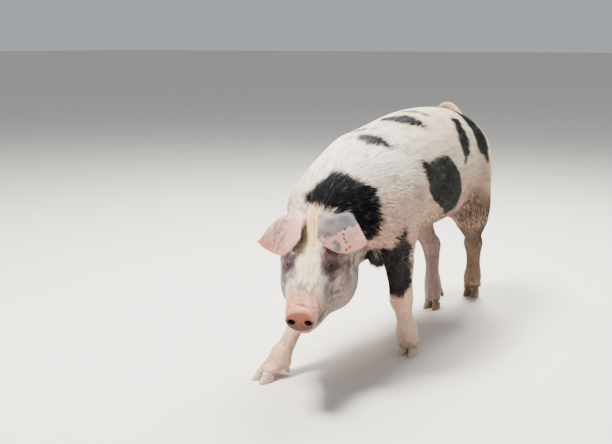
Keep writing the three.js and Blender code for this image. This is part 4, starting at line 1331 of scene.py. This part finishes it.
# %% Bristle material
coat = Paint("bristles")
fibre = coat.noise(900, 3)
own_tint = coat.attribute("tint")
dark_hair = (1 - own_tint * 8).clip()
bristle_finish = coat.finish(
    Base_Color=coat.mix(coat.ramp(fibre, (0.3, 0.0), (0.8, 0.5)), own_tint,
                        coat.mix(1.0, own_tint, (0.74, 0.68, 0.62, 1), "MULTIPLY")),
    Roughness=0.52 + fibre * 0.15 - dark_hair * 0.1, Specular_IOR_Level=0.1)

# %% [markdown]
# A lock has two forms. A long one bends: three points at the root, three half way, and a tip. A
# short one, on face, ears and legs, is a straight spike of four points. Both are closed.

# %% Build a mesh of locks
LONG_LOCK = np.array([(0, 1, 4), (0, 4, 3), (1, 2, 5), (1, 5, 4), (2, 0, 3), (2, 3, 5),
                      (3, 4, 6), (4, 5, 6), (5, 3, 6), (0, 2, 1)])
SHORT_LOCK = np.array([(0, 1, 3), (1, 2, 3), (2, 0, 3), (0, 2, 1)])
# Each lock is darker at its root, a painted shade where the locks lie over one another, and lighter
# towards its tip.
LONG_SHADE = np.array([0.62, 0.62, 0.74, 0.92, 0.92, 1.0, 1.10])
SHORT_SHADE = np.array([0.80, 0.80, 0.88, 1.08])
made_locks, made_faces = {}, {}


def lay(name, ring, tip, root, own_part, tint, short):
    """One mesh of locks from their rings of points, their tips and the colours of their roots."""
    count = len(root)
    points = np.stack(ring + [tip], 1)
    pattern, shade = (SHORT_LOCK, SHORT_SHADE) if short else (LONG_LOCK, LONG_SHADE)
    faces = (pattern[None] + np.arange(count)[:, None, None] * points.shape[1]).reshape(-1, 3)
    piece = new_object(name, points.reshape(-1, 3), faces)
    give_colours(piece.data, np.clip(tint[:, None, :] * shade[None, :, None], 0, 1).reshape(-1, 3))
    spread = np.array([1.0] * 3 + ([] if short else [0.55] * 3) + [0.0])[:, None]
    corners = np.concatenate([PLAN_CORNERS] * (1 if short else 2) + [[(0, 0)]]) * spread * PLAN_PATCH
    plan = unwrapped(root, own_part)[:, None, :] + corners[None]
    give_uv(piece.data, plan.reshape(-1, 2)[faces.ravel()])
    piece.data.materials.append(bristle_finish)
    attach(piece, "root")
    made_locks[name], made_faces[name] = count, len(faces)


# %% [markdown]
# To grow a piece, roots are scattered by a weight over the skin, each lock gets a direction from
# the flow and a chance turn, and its middle and tip are found on the skin further along.


# %% Grow one piece of the coat
ROOT_SUNK, TIP_DRIFT, TUFT_SIZE = 0.35, 0.10, 22
LENGTH_SPREAD, HANG_SPREAD = (0.75, 1.2), (0.3, 1.0)


def grow(name, slot, weight, count, length, width, rise, wander, stray, seed, short=False,
         vary=0.09, hang=0.0):
    """`count` locks; length, width and rise in millimetres as (low, high), or a length by place.

    `wander` turns whole tufts from the flow and `stray` single locks; `vary` is how unlike each
    other their tones are, and `hang` how far the tips drop.
    """
    draw = np.random.default_rng(seed)
    face, share = scattered(draw, weight, count)
    root = carried(skin_points, face, share)
    out, lie = unit(carried(skin_normals, face, share)), unit(carried(flow, face, share))
    own_part = part[skin_faces[face, 0]]
    turn = (rough(root, TUFT_SIZE, seed + 90) * wander + draw.normal(0, stray, count))[:, None]
    lie = lie * np.cos(turn) + np.cross(out, lie) * np.sin(turn)
    across = np.cross(out, lie)
    base = length(root) if callable(length) else draw.uniform(*length, count)
    long = (base * draw.uniform(*LENGTH_SPREAD, count) * MM)[:, None]
    wide = draw.uniform(*width, count)[:, None] * MM
    lift = draw.uniform(*rise, count)[:, None] * MM
    tip, tip_out = under(root + (lie + across * draw.normal(0, TIP_DRIFT, count)[:, None]) * long)
    sag = np.array([0, 0, -hang * MM]) * draw.uniform(*HANG_SPREAD, count)[:, None]
    tip += tip_out * lift + sag
    sunk = out * ROOT_SUNK * MM
    ring = [root + across * wide * 0.5 - sunk, root - across * wide * 0.5 - sunk,
            root + out * wide * 0.3 - lie * wide * 0.2]
    if not short:
        middle, middle_out = under(root + lie * long * 0.5)
        middle += middle_out * (lift * 0.6 + 0.4 * MM) + sag * 0.4
        side = unit(np.cross(middle_out, tip - root))
        ring += [middle + side * wide * 0.45, middle - side * wide * 0.45,
                 middle + middle_out * wide * 0.32]
    tint = hair_colour(root, own_part) * np.exp(draw.normal(0, vary, count))[:, None]
    lay(name, ring, tip, root, own_part, tint, short)


# %% [markdown]
# The back carries the longest and thickest bristles. They thin out down the flanks, where the
# pink skin shows between them, and are almost gone from the belly.

# %% The coat of the trunk and neck
x, y, z = skin_points.T / MM
black = black_on(skin_points)
upper = step(z, 380, 600)
on_trunk = (np.isin(part, (TRUNK, NECK)) * (0.42 + 1.1 * upper + 0.7 * black)
            * (0.35 + 0.65 * step(z, 290, 400)))


def trunk_length(places):
    """Longer on the crest and back, shorter low on the flank."""
    _, y, z = places.T / MM
    crest = step(z, 470, 600) * step(-y, -200, 200)
    return 19 + 9 * step(z, 400, 600) + 12 * crest


for k in range(4):
    grow(f"coat_trunk_{k + 1}", "hide_trunk", on_trunk, 18_500, trunk_length, (1.0, 1.9), (0.4, 3.0),
         0.26, 0.11, 100 + k, vary=0.13)
for k in range(2):
    grow(f"coat_fine_{k + 1}", "hide_trunk", on_trunk, 31_000, trunk_length, (0.5, 0.9), (0.6, 3.2),
         0.22, 0.16, 140 + k, short=True, vary=0.14)
print("trunk locks", sum(made_locks.values()))

# %% [markdown]
# On the head the hair is short and fine except for the blaze, where cream bristles lie back
# between the ears. The disc of the snout is bare, the lids nearly so, and the ears have a down.

# %% The coat of head and ears
faces_of = face_masks(skin_points)
hx, hy, hz = head_place(skin_points).T
on_head_part = part == HEAD
bare = np.clip(faces_of["lid"] + faces_of["disc"] + step(-hy, 276, 290) + faces_of["nostril"], 0, 1)
on_face = on_head_part * (1 - bare) * (1 - 0.55 * step(-hy, 210, 260)) * (1 - 0.5 * faces_of["eye"])
blaze = on_head_part * faces_of["blaze"] * (1 - bare)
crown = np.clip(1 - np.hypot((hx - 2) / 20, (hy + 16) / 34), 0, 1)
crown = crown * np.isin(part, (HEAD, NECK)) * (hz > -60)
ears = np.isin(part, (EAR_LEFT, EAR_RIGHT)).astype(float)
grow("coat_head_1", "hide_head", on_face, 46_000, (8, 15), (0.35, 0.78), (0.4, 1.8),
     0.40, 0.20, 201, short=True, vary=0.26)
grow("coat_blaze", "hide_head", blaze, 6_000, (18, 38), (0.6, 1.2), (0.6, 3.2),
     0.14, 0.10, 203, vary=0.2)
grow("coat_poll", "hide_head", crown, 1_000, (14, 26), (0.7, 1.3), (0.8, 3.0), 0.20, 0.14, 205)
grow("coat_ears", "hide_ear_left", ears, 13_000, (5, 9), (0.28, 0.50), (0.1, 1.0),
     0.3, 0.25, 207, short=True)
print("head locks", made_locks["coat_head_1"] + made_locks["coat_blaze"] + made_locks["coat_poll"])

# %% [markdown]
# Legs have a short down, with a tuft of long hair at the left elbow and a fringe that falls over
# the tops of the claws. The whiskers stand out from the muzzle and chin.

# %% The coat of legs, tail and muzzle
elbow = near(skin_points, np.array([116, -286, 332]) * MM, 8 * MM, 34 * MM)
grow("coat_elbow", "hide_trunk", elbow, 1_500, (16, 30), (0.7, 1.4), (2.0, 7.0),
     0.3, 0.25, 206, hang=26)
legs = {"forelegs": (FORE_LEFT, FORE_RIGHT), "hindlegs": (HIND_LEFT, HIND_RIGHT)}
for k, (name, members) in enumerate(legs.items()):
    weight = np.isin(part, members) * step(z, 30, 36) * (1 + 0.6 * black)
    grow("coat_" + name, "hide_" + name[:-1] + "_left", weight, 20_800, (7, 14), (0.5, 0.95), (0.2, 1.3),
         0.2, 0.14, 209 + k, short=True, vary=0.12)
fringe = (np.isin(part, (FORE_LEFT, FORE_RIGHT, HIND_LEFT, HIND_RIGHT)) * step(z, 29, 33)
          * step(48 - z, 0, 8))
grow("coat_feet", "hide_foreleg_left", fringe, 2_400, (6, 11), (0.5, 0.9), (0.8, 2.4),
     0.2, 0.2, 217, short=True, vary=0.12, hang=10)
grow("coat_tail", "hide_tail", (part == TAIL) * 1.0, 3_000, (10, 20), (0.5, 0.9), (0.4, 3.0),
     0.3, 0.2, 213, short=True)
muzzle = step(-hy, 200, 250) * step(-hz, 40, 80) + 0.3 * step(-hz, 110, 130)
muzzle = on_head_part * muzzle * (1 - faces_of["disc"])
grow("coat_whiskers", "hide_head", muzzle, 150, (12, 24), (0.25, 0.4), (3.0, 9.0),
     0.5, 0.4, 215, short=True)
print("locks in all", sum(made_locks.values()))

# %% [markdown]
# Pale lashes hang from the lids: two rows in three on the upper lid, the rest on the lower.


# %% Eyelashes
def lashes(name, count, seed):
    """The lashes of one eye."""
    draw = np.random.default_rng(seed)
    across, long = draw.uniform(-9, 9, count), draw.uniform(7, 12, count)
    upper = np.arange(count) % 3 > 0
    bow = 1 - (across / LID_WIDE) ** 2
    up = np.where(upper, LID_HIGH * bow + 0.8, -LID_LOW * bow - 0.8)
    away = EYE_RADIUS / MM + LID
    root = np.stack([across, up, np.sqrt(away ** 2 - across ** 2 - up ** 2) - 0.4], 1)
    bend = draw.normal(0, 0.12, (2, count))
    way = unit(np.stack([across * 0.05 + bend[0], np.where(upper, 0.55, -0.70) + bend[1],
                         np.ones(count)], 1))
    side, rise = np.array([0.11, 0, 0]), np.array([0, 0.11, 0])
    droop = np.array([0, -1.0, 0]) * np.where(upper, 2.5, 1.0)[:, None]
    placed = [EYE_AT[name] + p @ eye_axes[name].T * MM
              for p in (root + side, root - side, root + rise, root + way * long[:, None] + droop)]
    lay("lashes_" + name, placed[:3], placed[3], placed[0], np.full(count, HEAD),
        np.tile(tone("6d5c54"), (count, 1)), True)


for k, name in enumerate(EYES):
    lashes(name, 24, 220 + k)
print("locks", made_locks)
print("coat triangles", sum(made_faces.values()), "largest piece", max(made_faces.values()))

# %% [markdown]
# ## Floor and light
# A pale floor and soft light show form and colour without telling a story. A key lamp high
# before the pig draws its shape, a lamp behind lights its back and the edges of its coat, and a
# weak one at its side and a pale sky fill the shade.

# %% Floor, lamps and sky
FLOOR_HALF = 80.0
corners = np.array([(-1, -1, 0), (1, -1, 0), (1, 1, 0), (-1, 1, 0)]) * FLOOR_HALF
floor = new_object("floor", corners, np.array([(0, 1, 2, 3)]))
ground = Paint("floor_plaster")
floor.data.materials.append(ground.finish(
    Base_Color=ground.mix(ground.noise(3, 3), rgba("d6d2cb"), rgba("dedad4")), Roughness=0.9))


def lamp(name, at, size, power, warmth=(1, 1, 1)):
    """A square soft lamp that faces the middle of the pig."""
    light = bpy.data.lights.new(name, "AREA")
    light.energy, light.size, light.color = power, size, warmth
    made = bpy.data.objects.new(name, light)
    made.location = at
    made.rotation_euler = (Vector((0, -0.1, 0.4)) - made.location).to_track_quat("-Z", "Y").to_euler()
    bpy.context.scene.collection.objects.link(made)


lamp("key", (-0.8, -1.0, 3.5), 0.9, 450, (1.0, 0.96, 0.90))
lamp("back", (-0.4, 1.6, 2.9), 1.5, 320, (1.0, 0.96, 0.90))
lamp("fill", (2.6, -2.2, 1.8), 2.5, 15, (0.95, 0.97, 1.0))
sky = bpy.data.worlds.new("sky")
sky.use_nodes = True
sky.node_tree.nodes["Background"].inputs["Color"].default_value = (0.86, 0.90, 0.96, 1)
sky.node_tree.nodes["Background"].inputs["Strength"].default_value = 0.5
bpy.context.scene.world = sky
print("three lamps and a sky")
